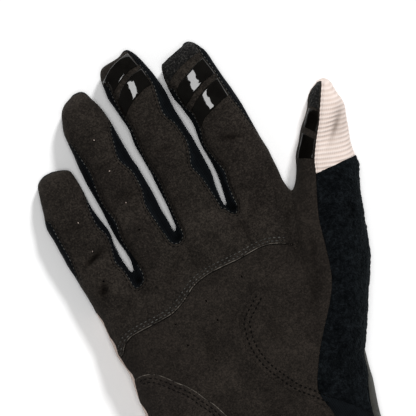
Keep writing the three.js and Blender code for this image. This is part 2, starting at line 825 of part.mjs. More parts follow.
function leftStrip() {
  const inner = [];
  for (let y = -edgeShowStart; y > -palmLength; y -= stationStep) {
    const at = (y - palm.rootY) / palm.length;
    const edge = place(palm, at, readColumn(palm.sections, 'left', at));
    inner.push(new THREE.Vector2(edge.x + edgeShow, y));
  }
  const last = inner[inner.length - 1];
  return [...inner, new THREE.Vector2(-reach, last.y), new THREE.Vector2(-reach, inner[0].y)];
}

function thumbSuede(grow) {
  return join([frontOf(outlines.thumbBase, grow), frontOf(outlines.freeThumb, grow)]).intersect(
    column(outlines.innerSide, grow),
  );
}

// Every panel has a region. Earlier panels keep theirs, and later ones keep clear of
// them by the seam's clearance.
const regions = [
  { name: 'cuff', region: (grow) => column(outlines.cuff, grow) },
  {
    name: 'thumb_wipe',
    region: (grow) =>
      join([
        frontOf(outlines.outerSide, grow + lap),
        backOf(outlines.freeThumb, grow + lap),
      ]).intersect(column(outlines.tipward, grow)),
  },
  {
    name: 'wrist_back',
    region: (grow) =>
      join([backOf(outlines.wristBack, grow + lap), column(outlines.wristStrip, grow + lap)]),
  },
  {
    name: 'thumb_back',
    region: (grow) =>
      join([
        frontOf(outlines.outerSide, grow + lap).subtract(column(outlines.gusset, -grow)),
        backOf(outlines.backThumb, grow + lap),
        backOf(outlines.freeThumb, grow + lap),
      ]),
  },
  {
    name: 'back_hand',
    region: (grow) =>
      join([backOf(outlines.backHand, grow + lap), column(leftStrip(), grow + lap)]),
  },
  { name: 'finger_backs', region: (grow) => backSide(grow) },
  {
    name: 'wrist_gusset',
    region: (grow) => frontOf(outlines.gusset, grow).intersect(column(outlines.outerSide, grow)),
  },
  { name: 'thumb_front', region: thumbSuede },
  {
    name: 'palm_lower',
    region: (grow) => frontOf(outlines.lowerPalm, grow),
  },
  {
    name: 'palm_front',
    region: (grow) =>
      join([
        frontOf(outlines.upperPalm, grow),
        ...fingers.map((finger) => frontOf(suedeOutline(finger), grow)),
      ]),
  },
  {
    name: 'side_index',
    region: (grow) =>
      frontOf(
        [
          place(indexFinger, 0.1, 0),
          place(indexFinger, 0.1, 1),
          place(indexFinger, 1.1, 1),
          place(indexFinger, 1.1, 0),
        ],
        grow,
      ),
  },
  {
    name: 'fourchette_index_middle',
    region: (grow) => frontOf(betweenAxes(middleFinger, indexFinger, 0.06), grow),
  },
  {
    name: 'fourchette_middle_ring',
    region: (grow) => frontOf(betweenAxes(ringFinger, middleFinger, 0.06), grow),
  },
  {
    name: 'fourchette_ring_pinky',
    region: (grow) => frontOf(betweenAxes(littleFinger, ringFinger, 0.06), grow),
  },
  {
    name: 'side_pinky',
    region: (grow) =>
      frontOf(
        [
          place(littleFinger, -0.1, 0),
          place(littleFinger, -0.1, -1),
          place(littleFinger, 1.1, -1),
          place(littleFinger, 1.1, 0),
        ],
        grow,
      ),
  },
];

// A cut can leave a crumb where a seam runs out at an edge, so only the panel is kept
function largestBody(solid) {
  const bodies = solid.decompose();
  return bodies.reduce((largest, body) => (body.volume() > largest.volume() ? body : largest));
}

// Materials

const finishes = {
  suede: { color: 0x2d2a25, roughness: 0.92 },
  suedeLower: { color: 0x2b2722, roughness: 0.92 },
  stretch: { color: 0x0f1316, roughness: 0.85 },
  terry: { color: 0x0b1012, roughness: 0.97 },
  ribKnit: { color: 0xe4d6d2, roughness: 0.9 },
  paleCloth: { color: 0xd9c6bf, roughness: 0.88 },
  oliveCloth: { color: 0x3c3c37, roughness: 0.9 },
  silicone: { color: 0x0c0b09, roughness: 0.12 },
  touch: { color: 0x1b1a19, roughness: 0.7 },
};

const panelFinish = {
  cuff: 'oliveCloth',
  thumb_wipe: 'ribKnit',
  wrist_back: 'oliveCloth',
  thumb_back: 'terry',
  back_hand: 'paleCloth',
  finger_backs: 'stretch',
  wrist_gusset: 'stretch',
  thumb_front: 'suede',
  palm_lower: 'suedeLower',
  palm_front: 'suede',
  side_index: 'stretch',
  fourchette_index_middle: 'stretch',
  fourchette_middle_ring: 'stretch',
  fourchette_ring_pinky: 'stretch',
  side_pinky: 'stretch',
};

const glove = new THREE.Group();

function addPiece(name, solid, finishName) {
  const finish = finishes[finishName];
  const material = new THREE.MeshStandardMaterial({ ...finish, metalness: 0 });
  const mesh = new THREE.Mesh(geometryOf(solid), material);
  mesh.name = name;
  glove.add(mesh);
}

// Panels

const outside = bodySolid(0);
const skin = outside.subtract(bodySolid(-wall));

const taken = [];
for (const { name, region } of regions) {
  const panel = taken.reduce((rest, other) => rest.subtract(other), skin.intersect(region(0)));
  addPiece(name, largestBody(panel), panelFinish[name]);
  taken.push(region(seam));
}

// Overlaid pieces, which follow the skin a seam's clearance above it

const skinTop = bodySolid(seam);

function overlay(name, outline, thickness, limits, finishName) {
  const layer = bodySolid(seam + thickness).subtract(skinTop).intersect(frontOf(outline, 0));
  const cut = limits.reduce((rest, limit) => rest.intersect(limit), layer);
  addPiece(name, largestBody(cut), finishName);
}

const gripMargin = 0.4; // the bands end just inside the suede's edge
const bands = [
  { name: 'index_grip_upper', limb: indexFinger, band: indexGripUpper, finish: 'silicone' },
  { name: 'index_grip_lower', limb: indexFinger, band: indexGripLower, finish: 'silicone' },
  { name: 'middle_grip_upper', limb: middleFinger, band: middleGripUpper, finish: 'silicone' },
  { name: 'middle_grip_lower', limb: middleFinger, band: middleGripLower, finish: 'silicone' },
  { name: 'thumb_grip_upper', limb: thumb, band: thumbGripUpper, finish: 'silicone' },
  { name: 'thumb_grip_lower', limb: thumb, band: thumbGripLower, finish: 'silicone' },
  { name: 'index_touch_patch', limb: indexFinger, band: indexTouchPatch, finish: 'touch' },
  { name: 'thumb_touch_patch', limb: thumb, band: thumbTouchPatch, finish: 'touch' },
];
for (const { name, limb, band, finish } of bands) {
  const outline = placeAll(limb, [...band.near, ...band.far]);
  const suede = limb === thumb ? thumbSuede(-gripMargin) : column(suedeOutline(limb), -gripMargin);
  const thickness = finish === 'touch' ? touchThickness : gripThickness;
  overlay(name, outline, thickness, [suede], finish);
}

const cuffEdge = column(outlines.cuff, seam);
const patchLimit = palmSide(-seam).subtract(cuffEdge);
overlay('heel_patch', outlines.heelPatch, patchThickness, [patchLimit], 'suedeLower');

// The origin is on the ground under the middle of the glove
const box = new THREE.Box3().setFromObject(glove);
const middle = box.getCenter(new THREE.Vector3());
glove.position.set(-middle.x, -middle.y, -box.min.z);

export default glove;
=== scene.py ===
"""Full-finger cycling glove for the right hand, lying on its back with the palm up.

The shapes are worked out in the glove's own millimetres: X to the thumb, Y along the
fingers from the finger roots, Z up. The last step of each piece turns them into the
frame's metres. The skin is lofted from the limbs, fused, and cut along the seams into
the panels that are sewn together.
"""

import math
from types import SimpleNamespace

import bmesh
import bpy
import numpy as np
from mathutils import Matrix, Vector, kdtree
from mathutils.bvhtree import BVHTree


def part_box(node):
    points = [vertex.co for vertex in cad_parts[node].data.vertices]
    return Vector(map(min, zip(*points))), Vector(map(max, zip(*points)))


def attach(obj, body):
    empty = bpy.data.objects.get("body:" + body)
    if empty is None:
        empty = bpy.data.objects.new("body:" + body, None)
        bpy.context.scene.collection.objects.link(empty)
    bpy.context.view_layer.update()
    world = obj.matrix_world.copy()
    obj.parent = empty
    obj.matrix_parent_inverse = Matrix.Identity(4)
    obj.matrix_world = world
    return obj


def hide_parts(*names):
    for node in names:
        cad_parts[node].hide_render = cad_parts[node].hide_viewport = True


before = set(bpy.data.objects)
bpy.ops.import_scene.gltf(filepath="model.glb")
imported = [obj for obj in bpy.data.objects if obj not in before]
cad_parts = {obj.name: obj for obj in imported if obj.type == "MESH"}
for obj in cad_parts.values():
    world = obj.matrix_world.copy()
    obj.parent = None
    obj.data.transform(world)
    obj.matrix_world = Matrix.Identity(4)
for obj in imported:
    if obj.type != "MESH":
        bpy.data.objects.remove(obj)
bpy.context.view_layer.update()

# Driving dimensions, in millimetres

MM = 0.001
WALL = 1.3
THINNEST = WALL / 4
KERF = 0.05  # half of the gap between two panels
FUSE = 0.05  # how far the parts of one cutting region run into each other
PALM_WIDTH = 96.0
PALM_LENGTH = 128.0
PALM_DEPTH = 28.0
CUFF_LENGTH = 27.0
FINGER_WIDTH = 20.0
FINGER_DEPTH = 17.0
FINGER_CURL = 4.0
INDEX_LENGTH = 72.8
MIDDLE_LENGTH = 81.0
RING_LENGTH = 73.2
LITTLE_LENGTH = 57.2
THUMB_LENGTH = 107.0
THUMB_WIDTH = 25.0
THUMB_DEPTH = 20.0
KNUCKLE_DROP = 12.0
FINGER_SEAM_HEIGHT = 6.0
PALM_SEAM_HEIGHT = 12.0
SEAM_RISE = (5.0, 22.0)
SIDE_SEAM_STATIONS = (-24.0, 96.0, 2.0)
ROUNDNESS = 2.4  # of a limb's section, where 2 is an ellipse
WIDEST_SHARE = 0.42
SINK_SHARE = 0.14
REACH = 200.0  # past every side of the glove
PAST_TIP = 1.1

# How fine the meshes and lines are

SKIN_VOXEL = 0.6
SKIN_SWELL = 0.15  # what the smoothing takes away again
LINING_VOXEL = 1.3
SMOOTH_FACTOR = 0.5
STATION = 1.5
TIP_START = 0.9
TIP_STATION = 0.4
MOUTH_REACH = 3 * WALL
PALM_SIDES = 160
LIMB_SIDES = 72
GROUND_CLEARANCE = 0.02
CURVE_STEP = 0.8
CURVE_SAMPLES = 12
CROTCH_STEP = 0.5
FIELD_STEP = 0.3

# Relief. Wave rows are depth, count, shortest, longest and seed.

UNEVENNESS = [(0.16, 9, 14, 34, 5), (0.07, 9, 5, 10, 6)]
PILE = [(0.13, 14, 1.6, 3.2, 11), (0.1, 12, 3.5, 8, 12)]
LARGEST_PHASE = 6.28
LAP_STEP = 0.55
LAP_ROWS = (1.1, 2.5)
THENAR_ROWS = (1.9, 4.2)
THENAR_FADE = (34, 52)
HEM_WIDTH = 6
HEM_RISE = 0.3
HEM_GROOVE = 0.35
RIB_DIRECTION = np.array([0.3, 0.92, 0.25])
RIB_PITCH = 1.75
RIB_DEPTH = 0.1
HEEL_ROWS = (1.8, 3.5)
HEEL_RIM = 0.3
HEEL_RISE = 0.75
HEEL_ROUNDING = 1.2
HEEL_UNDERSIDE = 0.12
HEEL_ROW_DEPTH = 0.22
HEEL_CLEARANCE = 0.2
BAND_ROWS = 44
BAND_COLUMNS = 72
BAND_MARGIN = 0.03
BAND_ROUNDS = 6  # in which a band's grid settles between its lines
BAND_LIFT = 0.25
BAND_SINK = 0.1
BAND_RIM = 0.35  # the share of a band's thickness that stands at its border

# Stitches. Their arch and width are shares of the lift and the radius, from end to end.

STITCH_STEP = 0.1
STITCH_ARCH = (-0.15, 0.6, 1.0, 0.6, -0.15)
STITCH_WIDTH = (0.55, 0.9, 1.0, 0.9, 0.55)
STEEPEST_STITCH = 1.0
FINGER_STITCH_PITCH = 1.9
ABOVE_ALL = 100.0  # a height over every part of the glove

# Painted shade in creases, in colour

PAINTED_CREASE_SHADE_PER_MM = 1.1  # painted shade: darkening of a crease one millimetre deep
PAINTED_CREASE_SHADE_COLOUR = (0.2, 0.18, 0.16, 1)
MIX_PLAIN, MIX_SHADED, MIX_RESULT = 6, 7, 2  # a Mix node's sockets for colours

# Camera, in millimetres and degrees

SENSOR_WIDTH = 36
CAMERA_DISTANCE = 2000.0
VIEW_WIDTH = 174.7
VIEW_MIDDLE = (4.16, 5.94)
VIEW_TURN = -25
AIM_HEIGHT = 15.0

# Limbs. Table columns are shares: at of the length, left and right of the width from
# the limb's axis, and depth of the limb's depth.


def limb(root, length, width, lean, depth, sections, suede=()):
    """One limb of the glove, with its table of sections and of the suede's edges."""
    return SimpleNamespace(
        root=root, length=length, width=width, lean=lean, depth=depth,
        sections=np.array(sections), suede=np.array(suede),
    )


PALM = limb(
    (-0.099 * PALM_WIDTH, -KNUCKLE_DROP), -PALM_LENGTH, PALM_WIDTH, 0.0, PALM_DEPTH,
    [
        (0, -0.5, 0.5, 0.56), (0.07, -0.492, 0.5, 0.8), (0.17, -0.489, 0.51, 0.94),
        (0.25, -0.475, 0.515, 0.98), (0.33, -0.487, 0.52, 1), (0.41, -0.486, 0.52, 1),
        (0.5, -0.474, 0.502, 0.98), (0.59, -0.458, 0.483, 0.96), (0.69, -0.437, 0.45, 0.94),
        (0.79, -0.42, 0.437, 0.94), (0.89, -0.42, 0.443, 1), (1, -0.43, 0.458, 1.08),
    ],
)
INDEX = limb(
    (0.267 * PALM_WIDTH, 0), INDEX_LENGTH, FINGER_WIDTH, -0.073, FINGER_DEPTH,
    [
        (-0.3, -0.85, 0.66, 1.14), (-0.07, -0.85, 0.65, 1.1), (0, -0.72, 0.63, 1.06),
        (0.04, -0.67, 0.62, 1.04), (0.14, -0.59, 0.64, 1), (0.28, -0.52, 0.65, 0.98),
        (0.42, -0.51, 0.65, 0.97), (0.55, -0.46, 0.63, 0.98), (0.66, -0.5, 0.61, 0.98),
        (0.75, -0.55, 0.58, 0.96), (0.85, -0.53, 0.54, 0.9), (0.92, -0.48, 0.5, 0.78),
        (0.95, -0.41, 0.44, 0.68), (0.958, -0.22, 0.43, 0.64), (0.968, -0.02, 0.4, 0.58),
        (0.982, 0.11, 0.37, 0.46), (1, 0.2, 0.29, 0.26),
    ],
    [
        (-0.3, -0.48, 0.72), (0.03, -0.47, 0.72), (0.15, -0.43, 0.72), (0.235, -0.36, 0.72),
        (0.33, -0.42, 0.7), (0.425, -0.46, 0.59), (0.53, -0.36, 0.545), (0.605, -0.35, 0.5),
        (0.68, -0.44, 0.485), (0.783, -0.45, 0.465), (0.825, -0.6, 0.445),
        (0.89, -0.62, 0.41), (0.95, -0.62, 0.4), (0.985, -0.62, 0.36), (1.03, -0.62, 0.3),
    ],
)
MIDDLE = limb(
    (0, 0), MIDDLE_LENGTH, FINGER_WIDTH, -0.055, FINGER_DEPTH,
    [
        (-0.25, -0.8, 0.8, 1.16), (-0.06, -0.8, 0.8, 1.12), (0, -0.64, 0.62, 1.08),
        (0.03, -0.6, 0.575, 1.06), (0.06, -0.545, 0.545, 1.04), (0.13, -0.52, 0.57, 1.02),
        (0.25, -0.495, 0.64, 1),
        (0.38, -0.485, 0.625, 0.98), (0.51, -0.52, 0.62, 1), (0.62, -0.46, 0.58, 0.99),
        (0.72, -0.495, 0.58, 0.97), (0.81, -0.535, 0.55, 0.93), (0.9, -0.495, 0.475, 0.82),
        (0.944, -0.435, 0.42, 0.7), (0.967, -0.33, 0.385, 0.58), (0.974, -0.12, 0.37, 0.52),
        (0.981, 0.07, 0.35, 0.46), (0.991, 0.145, 0.325, 0.36), (1, 0.2, 0.29, 0.24),
    ],
    [
        (-0.25, -0.48, 0.46), (0.03, -0.475, 0.46), (0.12, -0.46, 0.44),
        (0.23, -0.435, 0.395), (0.306, -0.41, 0.32), (0.37, -0.43, 0.41),
        (0.444, -0.445, 0.48), (0.533, -0.425, 0.445), (0.617, -0.4, 0.32),
        (0.695, -0.42, 0.365), (0.78, -0.43, 0.42), (0.864, -0.4, 0.39),
        (0.907, -0.62, 0.345), (0.95, -0.62, 0.31), (1.03, -0.62, 0.26),
    ],
)
RING = limb(
    (-0.25 * PALM_WIDTH, 0), RING_LENGTH, FINGER_WIDTH, -0.068, FINGER_DEPTH,
    [
        (-0.3, -0.85, 0.8, 1.14), (-0.19, -0.85, 0.8, 1.13), (-0.12, -0.72, 0.8, 1.11),
        (-0.07, -0.59, 0.8, 1.1), (0, -0.53, 0.6, 1.06), (0.04, -0.54, 0.55, 1.04),
        (0.15, -0.57, 0.54, 1), (0.3, -0.56, 0.55, 0.98), (0.45, -0.57, 0.54, 0.97),
        (0.58, -0.54, 0.51, 0.97), (0.7, -0.51, 0.5, 0.96), (0.8, -0.49, 0.485, 0.92),
        (0.88, -0.39, 0.44, 0.84), (0.93, -0.31, 0.385, 0.74), (0.97, -0.155, 0.34, 0.54),
        (0.992, 0.03, 0.28, 0.36), (1, 0.08, 0.22, 0.24),
    ],
    [
        (-0.3, -0.42, 0.4), (-0.06, -0.42, 0.38), (0.02, -0.445, 0.36), (0.127, -0.47, 0.32),
        (0.236, -0.405, 0.29), (0.355, -0.465, 0.39), (0.437, -0.44, 0.395),
        (0.557, -0.375, 0.265), (0.645, -0.4, 0.335), (0.74, -0.44, 0.44),
        (0.79, -0.6, 0.6), (1.03, -0.6, 0.6),
    ],
)
LITTLE = limb(
    (-0.493 * PALM_WIDTH, -0.078 * PALM_LENGTH), LITTLE_LENGTH, FINGER_WIDTH, -0.0775,
    FINGER_DEPTH,
    [
        (-0.25, -0.51, 0.8, 1.06), (-0.09, -0.51, 0.8, 1.03), (0, -0.51, 0.66, 1),
        (0.04, -0.51, 0.61, 0.98), (0.08, -0.512, 0.545, 0.97), (0.19, -0.52, 0.515, 0.95),
        (0.32, -0.545, 0.52, 0.92),
        (0.41, -0.545, 0.56, 0.92), (0.51, -0.545, 0.53, 0.92), (0.64, -0.54, 0.49, 0.91),
        (0.76, -0.445, 0.5, 0.87), (0.88, -0.355, 0.495, 0.76), (0.95, -0.275, 0.47, 0.6),
        (0.985, -0.165, 0.31, 0.42), (1, -0.07, 0.13, 0.26),
    ],
    [
        (-0.25, -0.7, 0.44), (0, -0.7, 0.445), (0.11, -0.6, 0.43), (0.206, -0.48, 0.36),
        (0.294, -0.44, 0.42), (0.4, -0.415, 0.475), (0.52, -0.415, 0.395),
        (0.67, -0.405, 0.44), (0.74, -0.7, 0.5), (0.787, -0.7, 0.56), (1.05, -0.7, 0.56),
    ],
)
NOTCH_Y = -0.0293 * PALM_LENGTH
NOTCH_SHARE = 0.638
THUMB_LEAN = 0.388
THUMB = limb(
    (
        0.578 * PALM_WIDTH - THUMB_LEAN * NOTCH_SHARE * THUMB_LENGTH,
        NOTCH_Y - NOTCH_SHARE * THUMB_LENGTH,
    ),
    THUMB_LENGTH, THUMB_WIDTH, THUMB_LEAN, THUMB_DEPTH,
    [
        (-0.14, -0.4, 0.3, 0.8), (-0.05, -0.52, 0.43, 1.15), (0, -0.6, 0.48, 1.28),
        (0.15, -0.73, 0.576, 1.3), (0.3, -0.78, 0.66, 1.25),
        (0.45, -0.78, 0.6, 1.14), (0.58, -0.8, 0.56, 1.04), (0.638, -0.68, 0.57, 1),
        (0.67, -0.6, 0.5, 0.97), (0.71, -0.57, 0.456, 0.95), (0.763, -0.55, 0.43, 0.92),
        (0.803, -0.496, 0.41, 0.9), (0.857, -0.424, 0.39, 0.86), (0.89, -0.35, 0.35, 0.8),
        (0.922, -0.28, 0.27, 0.72), (0.956, -0.256, 0.196, 0.62), (0.978, -0.204, 0.148, 0.5),
        (1, -0.08, 0.05, 0.28),
    ],
)
FINGERS = [INDEX, MIDDLE, RING, LITTLE]

# Seams. Columns are at and across, shares of the limb's length and width.

CROSS_SEAM = [
    (0.19, -0.56), (0.18, -0.473), (0.163, -0.452), (0.146, -0.428), (0.136, -0.398),
    (0.132, -0.353), (0.13, -0.293), (0.125, -0.204), (0.117, -0.168), (0.104, -0.13),
    (0.0875, -0.093), (0.071, -0.056), (0.061, -0.012), (0.0555, 0.034), (0.054, 0.099),
    (0.054, 0.168), (0.05, 0.234), (0.0485, 0.279), (0.052, 0.317), (0.0595, 0.346),
    (0.07, 0.376), (0.1, 0.44),
]
THUMB_BASE_SEAM = [
    (-0.064, 0.505), (0.016, 0.469), (0.078, 0.443), (0.121, 0.38), (0.137, 0.286),
    (0.15, 0.21), (0.195, 0.123), (0.234, 0.0625), (0.273, 0.045), (0.316, 0.036),
    (0.364, 0.041), (0.42, 0.061), (0.476, 0.1), (0.53, 0.145), (0.57, 0.197),
    (0.615, 0.249),
]
HEEL_PATCH_EDGE = [
    (0.273, -0.56), (0.272, -0.473), (0.266, -0.45), (0.266, -0.421), (0.272, -0.391),
    (0.286, -0.36), (0.307, -0.331), (0.333, -0.301), (0.355, -0.272), (0.386, -0.242),
    (0.417, -0.22), (0.448, -0.194), (0.476, -0.178), (0.506, -0.1635), (0.56, -0.152),
    (0.76, -0.15),
]
GUSSET_SEAM = [
    (0.49, 0.13), (0.606, 0.305), (0.6375, 0.346), (0.665, 0.383), (0.7, 0.43), (0.74, 0.56),
]
WRIST_EDGE = [
    (0.48, 0.56), (0.5, 0.5), (0.565, 0.476), (0.604, 0.454), (0.6375, 0.4385),
    (0.6766, 0.424), (0.75, 0.41), (0.85, 0.41),
]
OUTER_SEAM = [
    (1.06, 0.06), (1, 0.01), (0.96, -0.02), (0.925, -0.045), (0.888, -0.075),
    (0.853, -0.097), (0.816, -0.143), (0.778, -0.185), (0.722, -0.228), (0.67, -0.22),
    (0.58, -0.23), (0.498, -0.216), (0.393, -0.132), (0.28, -0.066), (0.196, -0.126),
    (0.106, -0.27), (0.019, -0.387), (-0.088, -0.45), (-0.155, -0.327), (-0.208, -0.194),
    (-0.4, 0.15), (-0.8, 0.78),
]
THUMB_FREE_SIDE = [(0.6, -0.66), (0.673, -0.665), (0.748, -0.68), (0.86, -0.59), (1.01, -0.36)]
BACK_THUMB_SEAM = [(-0.064, 0.506), (0.016, 0.495), (0.14, 0.47), (0.3, 0.44), (0.55, 0.42)]
WIPE_START = 0.672
WIPE_LINE_ACROSS = (-0.22, 0.7)
OUTER_TIP_ROWS = 12  # the rows of the outer seam beside the thumb's bands
CUFF_LINE_X = (-60, 45)
KNUCKLE_SEAM = 0.02
WRIST_BACK_SEAM = (0.66, 0.49)
SIDE_SHARE = 0.985  # how far out the fingers' bands may reach, as a share of the half width
THUMB_SIDE_SHARE = 0.97
PAST_SIDES = 1.6  # how far a line across a limb runs, past both of its sides
CROTCH_REACH = 0.11  # how far a strip between two fingers runs into the palm
EDGE_SHOW = 0.55
EDGE_SHOW_START = 20.0
EDGE_WOBBLE = [(0.35, 0.37, 0), (0.2, 0.83, 1)]

# The crotches between the fingers, as points in millimetres from right to left
CROTCHES = [
    [(16.2, 3), (16, 2.2), (15.1, -0.2), (13.9, -1.3), (12, -0.2), (10.5, 2.2), (10, 3)],
    [(-9.5, 3), (-9.6, 1.6), (-9.9, -0.2), (-11.3, -1.7), (-13.2, -2.5), (-15.1, -1.9),
     (-16.5, -0.2), (-16.9, 1.6), (-17.1, 3)],
    [(-32.5, -3), (-32.1, -6), (-32.1, -8.2), (-33.2, -10.7), (-35.2, -11.9), (-37.5, -12.1),
     (-38.5, -10.4), (-38.7, -8)],
]

# Silicone bands and tip patches. Columns are across and at, from left to right.
INDEX_BANDS = {
    "upper": (
        [(-0.52, 0.659), (-0.31, 0.684), (-0.145, 0.713), (0.035, 0.736), (0.24, 0.758),
         (0.56, 0.77)],
        [(-0.52, 0.75), (-0.29, 0.8), (-0.03, 0.8365), (0.265, 0.868), (0.56, 0.885)],
    ),
    "lower": (
        [(-0.46, 0.505), (-0.145, 0.5645), (0.135, 0.593), (0.37, 0.615), (0.58, 0.622)],
        [(-0.46, 0.62), (-0.155, 0.673), (0.165, 0.716), (0.58, 0.742)],
    ),
    "tip": (
        [(-0.66, 0.8), (-0.315, 0.8585), (0.08, 0.9), (0.66, 0.925)],
        [(-0.66, 0.93), (-0.4, 0.945), (-0.2, 0.962), (0.05, 0.98), (0.66, 0.995)],
    ),
}
MIDDLE_BANDS = {
    "upper": (
        [(-0.56, 0.79), (-0.29, 0.837), (0.02, 0.878), (0.2, 0.893), (0.5, 0.895)],
        [(-0.56, 0.89), (-0.155, 0.944), (0.08, 0.963), (0.5, 0.98)],
    ),
    "lower": (
        [(-0.56, 0.66), (-0.225, 0.7185), (0.03, 0.752), (0.31, 0.775), (0.56, 0.775)],
        [(-0.56, 0.74), (-0.18, 0.823), (0.195, 0.867), (0.56, 0.875)],
    ),
}
THUMB_BANDS = {
    "lower": ([(-0.7, 0.766), (-0.15, 0.726)], [(-0.52, 0.85), (-0.12, 0.79)]),
    "upper": ([(-0.5, 0.87), (-0.1, 0.815)], [(-0.4, 0.93), (0, 0.88)]),
    "tip": ([(-0.4, 0.934), (0.05, 0.885)], [(-0.3, 1.0), (0.1, 0.99)]),
}

# Main dents and folds. Columns are limb, at, across, then length, breadth and depth as
# shares of the limb's width, and turn in degrees from X.
FOLDS = [
    (PALM, 0.24, -0.06, 0.3, 0.16, 0.022, 70),
    (PALM, 0.12, 0.4, 0.12, 0.05, 0.016, 75),
    (PALM, 0.44, -0.02, 0.18, 0.05, 0.018, 110),
    (PALM, 0.02, -0.12, 0.34, 0.05, 0.01, 10),
    (LITTLE, 0.31, -0.02, 0.6, 0.2, 0.06, 20),
    (RING, 0.24, 0.1, 0.5, 0.2, 0.05, 10),
    (MIDDLE, 0.31, 0.1, 0.5, 0.2, 0.05, 8),
    (INDEX, 0.25, -0.1, 0.5, 0.2, 0.05, 8),
    (THUMB, 0.81, 0.16, 0.5, 0.14, 0.09, 42),
]

# Finer creases of the cloth. Columns are x, y, length, breadth and depth in
# millimetres, and turn in degrees from X.
CREASES = [
    (-48, 7, 7.5, 1.8, 1.1, 20), (-50, -7, 5, 3.2, 1.0, 50),
    (-20, -12, 16, 3.5, 0.35, 42), (20, -4, 14, 4, 0.25, 30), (-51, 22, 5, 1.6, 0.25, -15),
    (-23, 25, 6, 2.5, 0.5, -10), (-31, 40, 6, 2, 0.35, 12), (-2, 36, 6, 2, 0.45, -12),
    (-5, 14, 7, 2.2, 0.25, 15), (25, 29, 7, 1.8, 0.8, -20), (22, 7, 6, 2.4, 0.3, -15),
    (27, 41, 6, 1.8, 0.3, 8), (11, -6, 6, 3, 0.25, -30), (33, -12, 8, 2, 0.4, 60),
    (36, -30, 9, 2.2, 0.4, 70), (30, -44, 9, 2.5, 0.35, 62), (-46, -20, 8, 2.4, 0.3, 30),
    (-20, -48, 12, 4, 0.35, 75), (8, -52, 10, 4, 0.3, 100), (-44, -68, 9, 3, 0.35, 115),
    (-8, -88, 11, 4, 0.4, 80), (58, -20, 9, 2.5, 0.5, 80), (52, -44, 9, 2.5, 0.45, 65),
    (62, -4, 7, 1.8, 0.4, 10), (66.8, 14.2, 8.5, 1.5, 0.55, 46), (69, 13.4, 9, 3.4, 0.25, 50),
    (71.5, 20, 5, 3, 0.2, 50),
    (13.9, 1.2, 2, 1.8, 1.2, 0), (-13.2, -0.2, 2, 1.8, 1.2, 0), (-35.3, -9.6, 2, 1.8, 1.2, 0),
    (45, -60, 8, 2.5, 0.4, 60),
]

# Vent holes, as x and y in millimetres
VENT_HOLES = [
    (-27.1, 51.9), (-26.7, 37.5), (-26.1, 22.5), (-25.9, 9.9), (-47.8, 23.3), (-47.5, 9.7),
    (-48.6, -3.4), (-28.6, -32.3), (-13, -29), (4.9, -26.1), (-27.7, -42.5), (-12, -38.2),
    (-19.5, -53),
]
VENT_RADIUS = 0.42
VENT_SIDES = 12
VENT_LOW, VENT_HIGH = 8, 40  # a column through the palm side alone
VENT_DEPTH = 0.6
UPPER_VENTS = 7  # the first of them, in the upper palm's panel
PALE_VENTS = (0, 1, 2, 4, 5)  # those that the pale lining shows through

# The frame's shift from the glove's own millimetres, from the end of the cuff

cuff_low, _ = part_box("cuff")
CUFF_END = PALM.root[1] + PALM.length
CUFF_LEFT = PALM.root[0] + PALM.sections[-1][1] * PALM_WIDTH
SHIFT = np.array([cuff_low.x / MM - CUFF_LEFT, cuff_low.y / MM - CUFF_END, 0.0])


# Reading tables and placing points


def slopes(xs, ys):
    """Slopes at a table's rows that let the curve through them never overshoot."""
    rise = np.diff(ys) / np.diff(xs)
    before, after = rise[:-1], rise[1:]
    inner = np.zeros_like(before)
    same = before * after > 0
    inner[same] = 2 * before[same] * after[same] / (before[same] + after[same])
    return np.concatenate([[0.0], inner, [0.0]])


def hermite(t, start, leaving, end, arriving, span=1.0):
    """The smooth curve over a span from start to end, with the slopes at both."""
    return (
        (2 * t**3 - 3 * t**2 + 1) * start + (t**3 - 2 * t**2 + t) * leaving * span
        + (3 * t**2 - 2 * t**3) * end + (t**3 - t**2) * arriving * span
    )


def read(table, column, x):
    """A table's column read at x of its first column, along a smooth curve."""
    xs, ys = table[:, 0], table[:, column]
    x = np.clip(x, xs[0], xs[-1])
    row = np.clip(np.searchsorted(xs, x, side="right") - 1, 0, len(xs) - 2)
    span = xs[row + 1] - xs[row]
    slope = slopes(xs, ys)
    return hermite((x - xs[row]) / span, ys[row], slope[row], ys[row + 1], slope[row + 1], span)


def section(part, column, at):
    return read(part.sections, column, at)


def place(part, at, across):
    """The x and y of a point given in a limb's shares."""
    y = part.root[1] + np.asarray(at, float) * part.length
    x = part.root[0] + part.lean * (y - part.root[1]) + np.asarray(across, float) * part.width
    return np.stack(np.broadcast_arrays(x, y), -1)


def smoothstep(value, low, high):
    t = np.clip((value - low) / (high - low), 0, 1)
    return t * t * (3 - 2 * t)


def bell(distance, width):
    return np.exp(-((distance / width) ** 2))


def quarter_round(share):
    """A rim's rise from 0 to 1 as a quarter of a circle."""
    return np.sqrt(1 - (1 - share) ** 2)


def curl_height(y):
    return FINGER_CURL * (np.maximum(0, y) / MIDDLE_LENGTH) ** 2


def dents(x, y, rows):
    """How deep the listed dents press into the cloth at x and y."""
    total = np.zeros(np.broadcast(x, y).shape)
    for centre_x, centre_y, length, breadth, depth, turn in rows:
        angle = math.radians(turn)
        along = (x - centre_x) * math.cos(angle) + (y - centre_y) * math.sin(angle)
        beside = (y - centre_y) * math.cos(angle) - (x - centre_x) * math.sin(angle)
        total += depth * np.exp(-2 * ((along / length) ** 2 + (beside / breadth) ** 2))
    return total


FOLD_ROWS = [
    (*place(part, at, across), length * part.width, breadth * part.width, depth * part.width, turn)
    for part, at, across, length, breadth, depth, turn in FOLDS
]


def signed_power(value, exponent):
    return np.sign(value) * np.abs(value) ** exponent


